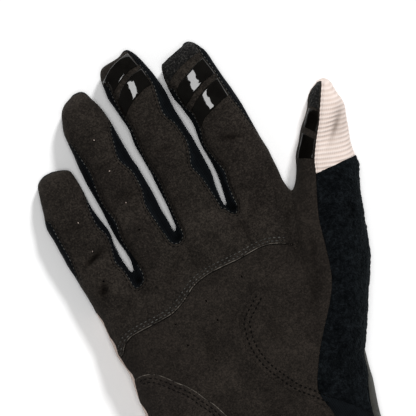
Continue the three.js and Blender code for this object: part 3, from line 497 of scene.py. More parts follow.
def limb_points(part, at, turn, grow=0.0):
    """Points of a limb's surface at shares of its length and turns in degrees."""
    at, turn = np.broadcast_arrays(np.asarray(at, float), np.radians(turn))
    left = place(part, at, section(part, 1, at))
    right = place(part, at, section(part, 2, at))
    depth = part.depth * section(part, 3, at)
    y = left[..., 1] + grow * at * np.sign(part.length)
    base = curl_height(left[..., 1])
    middle = (left[..., 0] + right[..., 0]) / 2
    half = np.maximum(THINNEST, (right[..., 0] - left[..., 0]) / 2 + grow)
    widest = depth * WIDEST_SHARE
    above = np.maximum(THINNEST, depth - widest + grow)
    below = widest + depth * SINK_SHARE + grow
    x = middle + half * signed_power(np.cos(turn), 2 / ROUNDNESS)
    rise = signed_power(np.sin(turn), 2 / ROUNDNESS)
    height = np.where(rise > 0, rise * (above - dents(x, y, FOLD_ROWS)), rise * below)
    z = np.maximum(base - grow, base + widest + height)
    return np.stack([x, y, z], -1)


def turn_at(part, at, across):
    """The turn in degrees, on the palm side, of a point at a share across a limb."""
    left, right = section(part, 1, at), section(part, 2, at)
    share = np.clip((across - (left + right) / 2) / ((right - left) / 2), -1, 1)
    return np.degrees(np.arccos(signed_power(share, ROUNDNESS / 2)))


def steps_along(points):
    """The length along a line at each of its points."""
    steps = np.linalg.norm(np.diff(points, axis=0), axis=1)
    return np.concatenate([[0], np.cumsum(steps)])


def resample(points, step):
    """Points at even steps along an open line."""
    points = np.asarray(points, float)
    arc = steps_along(points)
    count = max(2, int(round(arc[-1] / step)) + 1)
    places = np.linspace(0, arc[-1], count)
    return np.stack([np.interp(places, arc, column) for column in points.T], -1)


def curve(points, step=CURVE_STEP):
    """A smooth line through points, at even steps."""
    points = np.asarray(points, float)
    ends = [2 * points[0] - points[1], *points, 2 * points[-1] - points[-2]]
    t = np.linspace(0, 1, CURVE_SAMPLES, endpoint=False)[:, None]
    pieces = [
        hermite(t, start, (end - before) / 2, end, (after - start) / 2)
        for before, start, end, after in zip(ends, ends[1:], ends[2:], ends[3:])
    ]
    return resample(np.concatenate([*pieces, points[-1:]]), step)


def seam_curve(part, rows):
    rows = np.array(rows)
    return curve(place(part, rows[:, 0], rows[:, 1]))


def suede_edge(finger, side, low=None, high=None):
    """The left or right edge of a finger's suede, from root to tip."""
    low = finger.suede[0, 0] if low is None else low
    high = finger.suede[-1, 0] if high is None else high
    at = np.linspace(low, high, max(8, int((high - low) * finger.length)))
    return place(finger, at, read(finger.suede, side, at))


def offset_line(line, distance):
    """An open line moved sideways, to its left when distance is positive."""
    tangent = np.gradient(line, axis=0)
    tangent /= np.linalg.norm(tangent, axis=1)[:, None]
    return line + distance * np.stack([-tangent[:, 1], tangent[:, 0]], -1)


# Meshes


def add_object(name, data):
    made = bpy.data.objects.new(name, data)
    bpy.context.scene.collection.objects.link(made)
    return made


def mesh_object(name, vertices, faces):
    mesh = bpy.data.meshes.new(name)
    mesh.from_pydata([tuple(v) for v in np.asarray(vertices, float)], [], faces)
    mesh.update()
    return add_object(name, mesh)


def remove(item):
    mesh = item.data
    bpy.data.objects.remove(item)
    bpy.data.meshes.remove(mesh)


def duplicate(item, name):
    return add_object(name, item.data.copy())


def apply_modifiers(item):
    graph = bpy.context.evaluated_depsgraph_get()
    mesh = bpy.data.meshes.new_from_object(item.evaluated_get(graph), depsgraph=graph)
    old = item.data
    item.modifiers.clear()
    item.data = mesh
    bpy.data.meshes.remove(old)
    return item


def carve(item, others, operation):
    """Joins, cuts or intersects item with each of the others, which are used up."""
    for other in others:
        modifier = item.modifiers.new("carve", "BOOLEAN")
        modifier.operation = operation
        modifier.solver = "MANIFOLD"
        modifier.object = other
        apply_modifiers(item)
        remove(other)
    return item


def join(first, *others):
    return carve(first, others, "UNION")


def both(first, *others):
    return carve(first, others, "INTERSECT")


def minus(first, *others):
    return carve(first, others, "DIFFERENCE")


def read_vectors(items, name):
    flat = np.empty(len(items) * 3)
    items.foreach_get(name, flat)
    return flat.reshape(-1, 3)


def points_and_normals(item):
    return read_vectors(item.data.vertices, "co"), read_vectors(item.data.vertex_normals, "vector")


def set_points(item, points):
    item.data.vertices.foreach_set("co", np.asarray(points, float).ravel())
    item.data.update()


def keep_largest(item):
    """Deletes all but the largest loose part of a mesh."""
    mesh = item.data
    edges = np.empty(len(mesh.edges) * 2, np.int64)
    mesh.edges.foreach_get("vertices", edges)
    first, second = edges.reshape(-1, 2).T
    label = np.arange(len(mesh.vertices))
    settled = False
    while not settled:
        low = np.minimum(label[first], label[second])
        lower = label.copy()
        np.minimum.at(lower, first, low)
        np.minimum.at(lower, second, low)
        lower = lower[lower]
        settled = np.array_equal(lower, label)
        label = lower
    names, counts = np.unique(label, return_counts=True)
    if len(names) > 1:
        work = bmesh.new()
        work.from_mesh(mesh)
        work.verts.ensure_lookup_table()
        crumbs = [work.verts[index] for index in np.nonzero(label != names[counts.argmax()])[0]]
        bmesh.ops.delete(work, geom=crumbs, context="VERTS")
        work.to_mesh(mesh)
        work.free()
    return item


def face_outward(item):
    """Turns a closed mesh's faces outward."""
    work = bmesh.new()
    work.from_mesh(item.data)
    bmesh.ops.recalc_face_normals(work, faces=work.faces)
    work.to_mesh(item.data)
    work.free()


def flipped(faces):
    return [tuple(reversed(face)) for face in faces]


def grid_faces(rows, columns, offset=0, closed=False):
    """Quads over a grid of points stored row by row, closed round each row if asked."""
    faces = []
    for row in range(rows - 1):
        for column in range(columns if closed else columns - 1):
            here = offset + row * columns + column
            beside = offset + row * columns + (column + 1) % columns
            faces.append((here, beside, beside + columns, here + columns))
    return faces


def tube_faces(rings, sides, offset=0):
    """The faces of a closed tube of rings, with a flat face at each end."""
    last = offset + (rings - 1) * sides
    ends = [tuple(reversed(range(offset, offset + sides))), tuple(range(last, last + sides))]
    return grid_faces(rings, sides, offset, closed=True) + ends


def plan_tree(points):
    """A search tree over points in plan."""
    tree = kdtree.KDTree(len(points))
    for index, (x, y) in enumerate(points):
        tree.insert((x, y, 0), index)
    tree.balance()
    return tree


def surface_tree(item):
    corners = [tuple(point) for point in points_and_normals(item)[0]]
    return BVHTree.FromPolygons(corners, [tuple(face.vertices) for face in item.data.polygons])


# The skin


def limb_loft(part, grow, sides):
    """Vertices and faces of one limb's closed loft, its rings in order of rising Y."""
    low, high = part.sections[0, 0], part.sections[-1, 0]
    at = np.linspace(low, high, int((high - low) * abs(part.length) / STATION))
    if part is not PALM:
        tip = np.arange(TIP_START, 1.0, TIP_STATION / part.length)
        at = np.concatenate([at[at < TIP_START], tip, [1.0]])
    turns = np.linspace(0, 360, sides, endpoint=False)
    rings = limb_points(part, at[:, None], turns[None, :], grow)
    if part is PALM:
        if grow < 0:
            mouth = rings[-1:].copy()
            mouth[..., 1] -= MOUTH_REACH
            rings = np.concatenate([rings, mouth])
        rings = rings[::-1]
    return rings.reshape(-1, 3), flipped(tube_faces(len(rings), sides))


def fused_skin(name, grow, voxel, smoothing):
    """All limbs fused into one closed surface."""
    vertices, faces, count = [], [], 0
    for part in [PALM, THUMB, *FINGERS]:
        points, quads = limb_loft(part, grow, PALM_SIDES if part is PALM else LIMB_SIDES)
        vertices.append(points)
        faces += [tuple(index + count for index in quad) for quad in quads]
        count += len(points)
    item = mesh_object(name, np.concatenate(vertices), faces)
    remesh = item.modifiers.new("fuse", "REMESH")
    remesh.mode = "VOXEL"
    remesh.voxel_size = voxel
    smooth = item.modifiers.new("smooth", "SMOOTH")
    smooth.factor = SMOOTH_FACTOR
    smooth.iterations = smoothing
    return apply_modifiers(item)


def waves(points, count, shortest, longest, seed):
    """A soft seeded unevenness, from about -1 to 1."""
    random = np.random.default_rng(seed)
    total = np.zeros(len(points))
    for _ in range(count):
        direction = random.normal(size=3)
        direction /= np.linalg.norm(direction)
        length = random.uniform(shortest, longest)
        phase = random.uniform(0, LARGEST_PHASE)
        total += np.sin(points @ direction * 2 * math.pi / length + phase)
    return total / math.sqrt(count)


# Seam lines on the palm side, each with the form that the cloth takes beside it. Side
# distances are positive to the left of the line's direction, and all are millimetres.


def puckers(side, arc, pitch, width):
    """How the stitches at an even pitch pull the cloth in, from -1 to 1."""
    return np.cos(arc * 2 * math.pi / pitch) * bell(side, width)


def sewn_rows(side, rows, width):
    return sum(bell(side - row, width) for row in rows)


def edge_form(side, arc):
    """A suede edge turned down beside the stretch cloth, pulled in at each stitch."""
    groove, shoulder = 0.5 * bell(side, 0.75), 0.12 * bell(np.abs(side) - 1.9, 0.9)
    return shoulder - groove - 0.09 * puckers(side, arc, pitch=3.0, width=1.4)


def lap_form(side, arc):
    """The upper palm lapped over the lower, with two sewn rows on it."""
    over = np.where(side > 0, LAP_STEP * np.exp(-side / 2.5), 0)
    under = np.where(side < 0, -LAP_STEP * np.exp(side / 0.8), 0)
    rows = 0.28 * sewn_rows(side, LAP_ROWS, width=0.5) * (side > 0)
    return over + under - rows - 0.1 * puckers(side - 2.1, arc, pitch=2.6, width=1.6)


def thenar_form(side, arc):
    """A faint seam with two rows of pricked holes inside it."""
    rows = sewn_rows(side, THENAR_ROWS, width=0.7) * smoothstep(arc, *THENAR_FADE)
    return -0.22 * bell(side, 0.7) - 0.2 * rows


def terry_form(side, arc):
    """A suede edge over the thicker terry."""
    swell = np.where(side > 0, 0.25 * bell(side - 3.5, 2.5), 0)
    return swell - 0.5 * bell(side, 0.8) - 0.07 * puckers(side, arc, pitch=3.2, width=1.5)


def flat_form(side, arc):
    """A plain groove."""
    return -0.4 * bell(side, 0.7)


OUTER_CURVE = seam_curve(THUMB, OUTER_SEAM)
CROSS_CURVE = seam_curve(PALM, CROSS_SEAM)
THENAR_CURVE = seam_curve(PALM, THUMB_BASE_SEAM)
HEEL_CURVE = seam_curve(PALM, HEEL_PATCH_EDGE)
GUSSET_CURVE = seam_curve(PALM, GUSSET_SEAM)
WRIST_CURVE = seam_curve(PALM, WRIST_EDGE)
CROTCH_CURVES = [curve(points, CROTCH_STEP) for points in CROTCHES]

# The parts of those curves that are lapped or sewn, in steps of the curve
CROSS_LAPPED = slice(2, -4)
CROSS_SEWN = slice(10, -8)
HEEL_SEWN = slice(12, -30)
THENAR_SEWN = slice(62, None)


def suede_sides(root, tip, index_root, index_tip):
    """The suede's two edges on every finger. The index has its right one from higher up."""
    for finger in FINGERS:
        yield 1, suede_edge(finger, 1, root[finger is LITTLE], tip)
        if finger is not INDEX:
            yield -1, suede_edge(finger, 2, root[finger is LITTLE], tip)
    yield -1, suede_edge(INDEX, 2, index_root, index_tip)


def seam_table():
    """Every seam line of the palm side with its form."""
    sides = suede_sides(root=(0.03, 0.02), tip=0.99, index_root=0.33, index_tip=0.99)
    table = [(line, edge_form) for _, line in sides]
    table += [(line, edge_form) for line in CROTCH_CURVES]
    table.append((CROSS_CURVE[CROSS_LAPPED], lap_form))
    table.append((THENAR_CURVE, thenar_form))
    table.append((OUTER_CURVE[::-1], terry_form))
    cuff_y = CUFF_END + CUFF_LENGTH
    wipe_line = place(THUMB, [WIPE_START] * 2, WIPE_LINE_ACROSS)
    cuff_line = [(x, cuff_y) for x in CUFF_LINE_X]
    table += [(resample(line, CURVE_STEP), flat_form) for line in (wipe_line, cuff_line)]
    table += [(line, flat_form) for line in (GUSSET_CURVE, WRIST_CURVE)]
    return table


class SeamField:
    """Finds the nearest seam line of a point seen from above."""

    def __init__(self, table):
        self.forms = [form for _, form in table]
        lines = [resample(line, FIELD_STEP) for line, _ in table]
        self.points = np.concatenate(lines)
        self.tangents = np.concatenate([np.gradient(line, axis=0) for line in lines])
        self.tangents /= np.linalg.norm(self.tangents, axis=1)[:, None]
        self.arcs = np.concatenate([steps_along(line) for line in lines])
        self.kinds = np.repeat(np.arange(len(lines)), [len(line) for line in lines])
        self.tree = plan_tree(self.points)

    def height(self, points):
        """The height that the nearest seam's form adds at each point."""
        nearest = np.array([self.tree.find((x, y, 0))[1] for x, y in points[:, :2]])
        away = points[:, :2] - self.points[nearest]
        tangent = self.tangents[nearest]
        cross = tangent[:, 0] * away[:, 1] - tangent[:, 1] * away[:, 0]
        side = np.where(cross >= 0, 1, -1) * np.linalg.norm(away, axis=1)
        arc, kinds = self.arcs[nearest], self.kinds[nearest]
        total = np.zeros(len(points))
        for kind, form in enumerate(self.forms):
            here = kinds == kind
            total[here] = form(side[here], arc[here])
        return total


def soft_relief(points, normals):
    """Unevenness and creases that the outside and the lining share."""
    ground = smoothstep(points[:, 2], 0.6, 4)
    up = smoothstep(normals[:, 2], 0.15, 0.7)
    uneven = sum(depth * waves(points, *rows) for depth, *rows in UNEVENNESS)
    return ground * uneven - up * dents(points[:, 0], points[:, 1], CREASES)


def sewn_relief(points, normals, field):
    """Relief of the seams, and of the hem that is sewn round the cuff."""
    up = smoothstep(normals[:, 2], 0.0, 0.5)
    from_hem = CUFF_END + HEM_WIDTH - points[:, 1]
    hem = HEM_RISE * smoothstep(from_hem, 0, 1.5) - HEM_GROOVE * bell(from_hem, 0.8)
    return up * field.height(points) + hem * smoothstep(points[:, 2], 0.3, 2)


outer = fused_skin("outer", SKIN_SWELL, SKIN_VOXEL, smoothing=3)
points, normals = points_and_normals(outer)
relief = soft_relief(points, normals) + sewn_relief(points, normals, SeamField(seam_table()))
points = points + normals * relief[:, None]
points[:, 2] = np.maximum(points[:, 2], GROUND_CLEARANCE)
set_points(outer, points)

lining = fused_skin("lining", -WALL, LINING_VOXEL, smoothing=2)
points, normals = points_and_normals(lining)
set_points(lining, points + normals * soft_relief(points, normals)[:, None])

skin_tree = surface_tree(outer)
outer_skin = duplicate(outer, "outer_skin")
rest = minus(outer, lining)


# Materials


def linear(colour):
    """An sRGB colour of 0 to 255 as linear light."""
    shares = [channel / 255 for channel in colour]
    return tuple(s / 12.92 if s <= 0.04045 else ((s + 0.055) / 1.055) ** 2.4 for s in shares)


class Surface:
    """A material's node tree with its Principled shader, and short calls for its nodes."""

    def __init__(self, name, roughness, sheen=0.0, sheen_tint=(1, 1, 1), specular=0.5):
        self.material = bpy.data.materials.new(name)
        self.material.use_nodes = True
        self.tree = self.material.node_tree
        self.shader = self.tree.nodes["Principled BSDF"]
        self.shader.inputs["Roughness"].default_value = roughness
        self.shader.inputs["Specular IOR Level"].default_value = specular
        self.shader.inputs["Sheen Weight"].default_value = sheen
        self.shader.inputs["Sheen Roughness"].default_value = 0.5
        self.shader.inputs["Sheen Tint"].default_value = (*sheen_tint, 1)
        self.place = self.tree.nodes.new("ShaderNodeTexCoord").outputs["Object"]

    def node(self, kind, **values):
        made = self.tree.nodes.new(kind)
        for name, value in values.items():
            setattr(made, name, value)
        return made

    def link(self, source, target):
        self.tree.links.new(source, target)

    def texture(self, kind, size_mm, output, **inputs):
        """A texture with features of about size_mm."""
        made = self.node(kind)
        self.link(self.place, made.inputs["Vector"])
        made.inputs["Scale"].default_value = 1 / (size_mm * MM)
        for name, value in inputs.items():
            made.inputs[name].default_value = value
        return made.outputs[output]

    def noise(self, size_mm, detail=3.0, roughness=0.6, distortion=0.0):
        return self.texture("ShaderNodeTexNoise", size_mm, "Fac", Detail=detail,
                            Roughness=roughness, Distortion=distortion)

    def cells(self, size_mm):
        return self.texture("ShaderNodeTexVoronoi", size_mm, "Distance")

    def math(self, operation, *values):
        made = self.node("ShaderNodeMath", operation=operation)
        for socket, value in zip(made.inputs, values):
            if isinstance(value, (int, float)):
                socket.default_value = value
            else:
                self.link(value, socket)
        return made.outputs[0]

    def blend(self, first, first_share, second, second_share):
        """Two heights added up by their shares."""
        part = self.math("MULTIPLY", second, second_share)
        return self.math("MULTIPLY_ADD", first, first_share, part)

    def stripes(self, direction, pitch_mm):
        """A wave from 0 to 1 across stripes that lie square to a direction."""
        dot = self.node("ShaderNodeVectorMath", operation="DOT_PRODUCT")
        self.link(self.place, dot.inputs[0])
        dot.inputs[1].default_value = direction
        turned = self.math("MULTIPLY", dot.outputs["Value"], 2 * math.pi / (pitch_mm * MM))
        return self.math("MULTIPLY_ADD", self.math("SINE", turned), 0.5, 0.5)

    def colours(self, value, *stops):
        """Colours by value, with painted shade where the cloth is creased. Stops are a place
        and an sRGB colour of 0 to 255."""
        made = self.node("ShaderNodeValToRGB")
        elements = made.color_ramp.elements
        while len(elements) < len(stops):
            elements.new(0.5)
        for element, (where, colour) in zip(elements, stops):
            element.position = where
            element.color = (*linear(colour), 1)
        self.link(value, made.inputs["Fac"])
        # Painted shade: the attribute set in finish_piece darkens the colour in creases.
        painted_crease_shade = self.node("ShaderNodeAttribute", attribute_name="painted_crease_shade").outputs["Fac"]
        mix = self.node("ShaderNodeMix", data_type="RGBA", blend_type="MULTIPLY")
        self.link(painted_crease_shade, mix.inputs["Factor"])
        self.link(made.outputs["Color"], mix.inputs[MIX_PLAIN])
        mix.inputs[MIX_SHADED].default_value = PAINTED_CREASE_SHADE_COLOUR
        self.link(mix.outputs[MIX_RESULT], self.shader.inputs["Base Color"])

    def bump(self, *layers):
        """Bump layers, each a height from 0 to 1 and its real depth in millimetres."""
        normal = None
        for height, depth_mm in layers:
            made = self.node("ShaderNodeBump")
            made.inputs["Distance"].default_value = depth_mm * MM
            self.link(height, made.inputs["Height"])
            if normal is not None:
                self.link(normal, made.inputs["Normal"])
            normal = made.outputs["Normal"]
        self.link(normal, self.shader.inputs["Normal"])


def suede_material(name, dark, middle, light):
    """Brushed synthetic suede: a fine nap, soft blotches and a faint warm sheen."""
    look = Surface(name, 0.95, sheen=0.04, sheen_tint=(0.8, 0.7, 0.6), specular=0.08)
    nap = look.noise(0.75, 3, 0.8)
    blotch = look.noise(2.2, 4, 0.7, 0.4)
    patch = look.noise(18, 3, 0.5, 0.6)
    whole = look.math("MULTIPLY_ADD", patch, 0.22, look.blend(blotch, 0.26, nap, 0.62))
    look.colours(whole, (0.43, dark), (0.55, middle), (0.67, light))
    look.bump((patch, 0.6), (blotch, 0.35), (nap, 0.3))
    return look.material


def stretch_material():
    """Black stretch cloth with a fine knit, and painted shade where it turns away from above."""
    look = Surface("stretch_cloth", 0.9, sheen=0.03, sheen_tint=(0.5, 0.6, 0.7), specular=0.06)
    knit = look.math(
        "MULTIPLY", look.stripes((0.8, 0.6, 0), 0.55), look.stripes((-0.6, 0.8, 0.2), 0.7),
    )
    blotch = look.noise(4)
    # Painted shade: the colour darkens as the surface turns away from straight up.
    level = look.node("ShaderNodeSeparateXYZ")
    look.link(look.node("ShaderNodeNewGeometry").outputs["Normal"], level.inputs[0])
    painted_shade_by_facing = look.math("MAXIMUM", level.outputs["Z"], 0.3)
    shade = look.math("MULTIPLY", painted_shade_by_facing, look.blend(blotch, 0.5, knit, 0.5))
    look.colours(shade, (0.16, (3, 3, 4)), (0.3, (8, 10, 12)), (0.55, (20, 24, 27)))
    look.bump((blotch, 0.25), (knit, 0.12))
    return look.material


def terry_material():
    """Dark looped terry: clumped pile of short loops."""
    look = Surface("terry_cloth", 0.97, sheen=0.03, sheen_tint=(0.5, 0.65, 0.7), specular=0.04)
    clumps = look.noise(1.3, 4, 0.75, 0.8)
    shade = look.blend(clumps, 0.6, look.noise(6, 4, 0.7, 1.2), 0.4)
    look.colours(shade, (0.38, (2, 3, 4)), (0.5, (9, 11, 13)), (0.66, (26, 30, 33)))
    look.bump((clumps, 0.7), (look.cells(0.9), 0.35))
    return look.material


def rib_material():
    """Pale rib knit, with painted shade between its ribs."""
    look = Surface("rib_knit", 0.9, sheen=0.15, sheen_tint=(1, 0.95, 0.9), specular=0.2)
    ribs = look.stripes(tuple(RIB_DIRECTION), RIB_PITCH)
    # The ribs' stripes set painted shade between the ribs, besides their bump.
    shade = look.blend(look.noise(5), 0.45, ribs, 0.4)
    look.colours(shade, (0.05, (198, 180, 169)), (0.45, (216, 201, 193)), (0.8, (227, 215, 208)))
    look.bump((ribs, 0.1), (look.stripes((0.954, -0.30, 0.0), 0.8), 0.05))
    return look.material


def woven_material(name, dark, light, pitch_mm):
    """Plain woven cloth with a slight slub."""
    look = Surface(name, 0.88, sheen=0.1, specular=0.2)
    warp = look.stripes((0.7071, 0.7071, 0.1), pitch_mm)
    weft = look.stripes((-0.7071, 0.7071, 0.1), pitch_mm)
    weave = look.math("ABSOLUTE", look.math("SUBTRACT", warp, weft))
    slub = look.noise(2.5, 4, 0.65)
    look.colours(look.blend(slub, 0.6, weave, 0.4), (0.2, dark), (0.75, light))
    look.bump((weave, 0.15), (slub, 0.15))
    return look.material


def silicone_material(name, specular):
    """Glossy black silicone, very slightly uneven."""
    look = Surface(name, 0.1, specular=specular)
    uneven = look.noise(6, 2, 0.5)
    look.colours(uneven, (0.3, (7, 6, 5)), (0.7, (14, 13, 11)))
    look.link(look.math("MULTIPLY_ADD", uneven, 0.06, 0.02), look.shader.inputs["Roughness"])
    look.bump((uneven, 0.25))
    return look.material


def touch_material():
    """Dark textured touch patch with small worn grains."""
    look = Surface("touch_knit", 0.8, sheen=0.03, specular=0.2)
    grains, speckle = look.cells(0.8), look.noise(0.7, 3, 0.7)
    shade = look.math("MULTIPLY", grains, speckle)
    look.colours(shade, (0.12, (7, 7, 7)), (0.32, (22, 21, 20)), (0.55, (62, 60, 58)))
    look.bump((grains, 0.3), (speckle, 0.15))
    return look.material


def thread_material(name, dark, light, patch_mm=0.8):
    look = Surface(name, 0.8, specular=0.1)
    fibres = look.noise(patch_mm, 3, 0.7)
    look.colours(fibres, (0.35, dark), (0.65, light))
    look.bump((fibres, 0.08))
    return look.material


# Finishes: each a material and the slot that it stands for

SUEDE = (suede_material("suede", (17, 15, 13), (32, 28.5, 25.5), (52, 47, 42)), "suede")
SUEDE_LOWER = (
    suede_material("suede_lower", (19, 16, 14), (32, 28.5, 25.5), (48, 42.5, 38)), "suede_lower",
)
SUEDE_THUMB = (SUEDE_LOWER[0], "suede")
SUEDE_HEEL = (
    suede_material("suede_heel", (23, 20, 18), (37, 33, 30), (54, 48, 43)), "suede_lower",
)
STRETCH = (stretch_material(), "stretch")
TERRY = (terry_material(), "terry")
RIB_KNIT = (rib_material(), "rib_knit")
PALE_CLOTH = (woven_material("pale_cloth", (176, 154, 142), (216, 200, 190), 0.7), "pale_cloth")
OLIVE_CLOTH = (woven_material("olive_cloth", (32, 32, 29), (62, 62, 56), 0.6), "olive_cloth")
SILICONE = (silicone_material("silicone", specular=0.5), "silicone")
THUMB_SILICONE = (silicone_material("silicone_thumb", specular=0.08), "silicone")
TOUCH = (touch_material(), "touch_knit")
# Dark thread for the stitches, and the painted shadow of the cord under the cross seam's lap.
DARK_THREAD_AND_PAINTED_SHADOW = (thread_material("dark_thread_and_painted_shadow", (2, 2, 2), (12, 11, 10)), "stretch")
FLECK_THREAD = (thread_material("fleck_thread", (8, 8, 8), (88, 88, 85)), "stretch")
# Painted highlight: the light colour of the raised cords along lapped edges.
EDGE_PAINTED_HIGHLIGHT = (thread_material("edge_painted_highlight", (16, 15, 14), (112, 106, 98), 2.4), "suede")


def finish_piece(item, name, finish, nodes=(), sharp_degrees=38):
    """Puts a piece made in the glove's millimetres into the frame."""
    material, slot = finish
    points, normals = points_and_normals(item)
    # Painted shade: darker colour where the listed creases press in, on faces turned up.
    painted_crease_shade = dents(points[:, 0], points[:, 1], CREASES) * smoothstep(normals[:, 2], 0, 0.4)
    painted_shade_layer = item.data.attributes.new("painted_crease_shade", "FLOAT", "POINT")
    painted_shade_layer.data.foreach_set("value", np.clip(painted_crease_shade * PAINTED_CREASE_SHADE_PER_MM, 0, 1))
    item.data.transform(Matrix.Translation(Vector(SHIFT) * MM) @ Matrix.Scale(MM, 4))
    item.name = name
    item.data.name = name
    item.data.materials.clear()
    item.data.materials.append(material)
    item.data.polygons.foreach_set("material_index", [0] * len(item.data.polygons))
    item.data.shade_smooth()
    item.data.set_sharp_from_angle(angle=math.radians(sharp_degrees))
    item.data.update()
    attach(item, "root")
    if nodes:
        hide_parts(*nodes)


# Cutting regions


def grow_outline(points, grow):
    """A closed outline, turned anticlockwise and moved outward."""
    points = np.asarray(points, float)
    keep = np.linalg.norm(points - np.roll(points, 1, axis=0), axis=1) > 1e-6
    points = points[keep]
    x, y = points.T
    if np.sum(x * np.roll(y, -1) - np.roll(x, -1) * y) < 0:
        points = points[::-1]
    edge_in = points - np.roll(points, 1, axis=0)
    edge_out = np.roll(points, -1, axis=0) - points
    edge_in /= np.linalg.norm(edge_in, axis=1)[:, None]
    edge_out /= np.linalg.norm(edge_out, axis=1)[:, None]
    normal_in = np.stack([edge_in[:, 1], -edge_in[:, 0]], -1)
    normal_out = np.stack([edge_out[:, 1], -edge_out[:, 0]], -1)
    sharp = np.maximum(0.5, 1 + np.sum(normal_in * normal_out, axis=1))
    return points + (normal_in + normal_out) * (grow / sharp)[:, None]


def prism(outline, grow=0.0, low=-40.0, high=80.0):
    """A straight column over an outline in plan."""
    outline = grow_outline(outline, grow)
    ends = [np.column_stack([outline, np.full(len(outline), z)]) for z in (low, high)]
    return mesh_object("column", np.concatenate(ends), tube_faces(2, len(outline)))


def side_seam_height(y):
    rise_share = smoothstep(-y, *SEAM_RISE)
    height = FINGER_SEAM_HEIGHT + (PALM_SEAM_HEIGHT - FINGER_SEAM_HEIGHT) * rise_share
    return height + curl_height(y)


def slab(shift, edge):
    """The space on one side of the side seams, up or down to the height of edge."""
    start, end, step = SIDE_SEAM_STATIONS
    y = np.concatenate([[-REACH], np.arange(start, end, step), [REACH]])
    line = np.column_stack([y, side_seam_height(np.minimum(y, end)) + shift])
    outline = np.concatenate([line, [(REACH, edge), (-REACH, edge)]])
    if edge < 0:
        outline = outline[::-1]
    ends = [np.column_stack([np.full(len(outline), x), outline]) for x in (-REACH, REACH)]
    return mesh_object("slab", np.concatenate(ends), tube_faces(2, len(outline)))


def palm_side(grow):
    return slab(-grow, REACH)


def back_side(grow):
    return slab(grow, -REACH)


def front_of(outline, grow):
    return both(prism(outline, grow), palm_side(grow))


def back_of(outline, grow):
    return both(prism(outline, grow), back_side(grow))


def right_of(line):
    return np.concatenate([line, [(REACH, line[-1][1]), (REACH, line[0][1])]])


def left_of(line):
    return np.concatenate([line, [(-REACH, line[-1][1]), (-REACH, line[0][1])]])


def wristward_of(line):
    return np.concatenate([line, [(line[-1][0], -REACH), (line[0][0], -REACH)]])


def across_palm(left_at, right_at):
    return wristward_of(place(PALM, [left_at, right_at], [-PAST_SIDES, PAST_SIDES]))


def cuff_region(grow):
    start = 1 - CUFF_LENGTH / PALM_LENGTH
    return prism(across_palm(start, start), grow)


def left_strip():
    """The strip where the pale back panel shows beside the palm."""
    y = np.arange(-EDGE_SHOW_START, -PALM_LENGTH, -2.0)
    at = (y - PALM.root[1]) / PALM.length
    show = EDGE_SHOW + sum(size * np.sin(y * rate + phase) for size, rate, phase in EDGE_WOBBLE)
    return left_of(place(PALM, at, section(PALM, 1, at)) + np.column_stack([show, 0 * y]))


def upper_palm_outline():
    index_side, little_side = [(60, -5), (60, 3)], [(-39, -6), (-90, -6)]
    return np.concatenate([CROSS_CURVE, index_side, *CROTCH_CURVES, little_side])


def suede_outline(finger):
    return np.concatenate([suede_edge(finger, 1), suede_edge(finger, 2)[::-1]])


FREE_THUMB = right_of(seam_curve(THUMB, THUMB_FREE_SIDE))
TIPWARD = np.concatenate([
    place(THUMB, [WIPE_START] * 2, [-2 * PAST_SIDES, 2 * PAST_SIDES]), [(150, REACH), (-60, REACH)],
])


def thumb_suede(grow):
    base = join(front_of(right_of(THENAR_CURVE), grow), front_of(FREE_THUMB, grow))
    return both(base, prism(left_of(OUTER_CURVE), grow))


def between(left_finger, right_finger):
    """The space between the axes of two fingers, from a line across the palm."""
    root = min(left_finger.root[1], right_finger.root[1]) - CROTCH_REACH * PALM_LENGTH
    shares = [(root - finger.root[1]) / finger.length for finger in (left_finger, right_finger)]
    return [
        place(left_finger, shares[0], 0), place(right_finger, shares[1], 0),
        place(right_finger, PAST_TIP, 0), place(left_finger, PAST_TIP, 0),
    ]


def beside(finger, low, side):
    return place(finger, [low, low, PAST_TIP, PAST_TIP], [0, side, side, 0])


# The panels, in the order in which they are cut, each with its finish and its region
PANELS = {
    "cuff": (OLIVE_CLOTH, cuff_region),
    "thumb_wipe": (RIB_KNIT, lambda g: both(
        join(front_of(right_of(OUTER_CURVE), g + FUSE), back_of(FREE_THUMB, g + FUSE)),
        prism(TIPWARD, g),
    )),
    "wrist_back": (OLIVE_CLOTH, lambda g: join(
        back_of(across_palm(*WRIST_BACK_SEAM), g + FUSE), prism(right_of(WRIST_CURVE), g + FUSE)
    )),
    "thumb_back": (TERRY, lambda g: join(
        minus(front_of(right_of(OUTER_CURVE), g + FUSE), prism(wristward_of(GUSSET_CURVE), -g)),
        back_of(right_of(seam_curve(PALM, BACK_THUMB_SEAM)), g + FUSE),
        back_of(FREE_THUMB, g + FUSE),
    )),
    "back_hand": (PALE_CLOTH, lambda g: join(
        back_of(across_palm(KNUCKLE_SEAM, KNUCKLE_SEAM), g + FUSE), prism(left_strip(), g + FUSE)
    )),
    "finger_backs": (STRETCH, back_side),
    "wrist_gusset": (STRETCH, lambda g: both(
        front_of(wristward_of(GUSSET_CURVE), g), prism(right_of(OUTER_CURVE), g)
    )),
    "thumb_front": (SUEDE_THUMB, thumb_suede),
    "palm_lower": (SUEDE_LOWER, lambda g: front_of(wristward_of(CROSS_CURVE), g)),
    "palm_front": (SUEDE, lambda g: join(
        front_of(upper_palm_outline(), g),
        *[front_of(suede_outline(finger), g) for finger in FINGERS],
    )),
    "side_index": (STRETCH, lambda g: front_of(beside(INDEX, 0.1, 1), g)),
    "fourchette_index_middle": (STRETCH, lambda g: front_of(between(MIDDLE, INDEX), g)),
    "fourchette_middle_ring": (STRETCH, lambda g: front_of(between(RING, MIDDLE), g)),
    "fourchette_ring_pinky": (STRETCH, lambda g: front_of(between(LITTLE, RING), g)),
    "side_pinky": (STRETCH, lambda g: front_of(beside(LITTLE, -0.2, -1), g)),
}

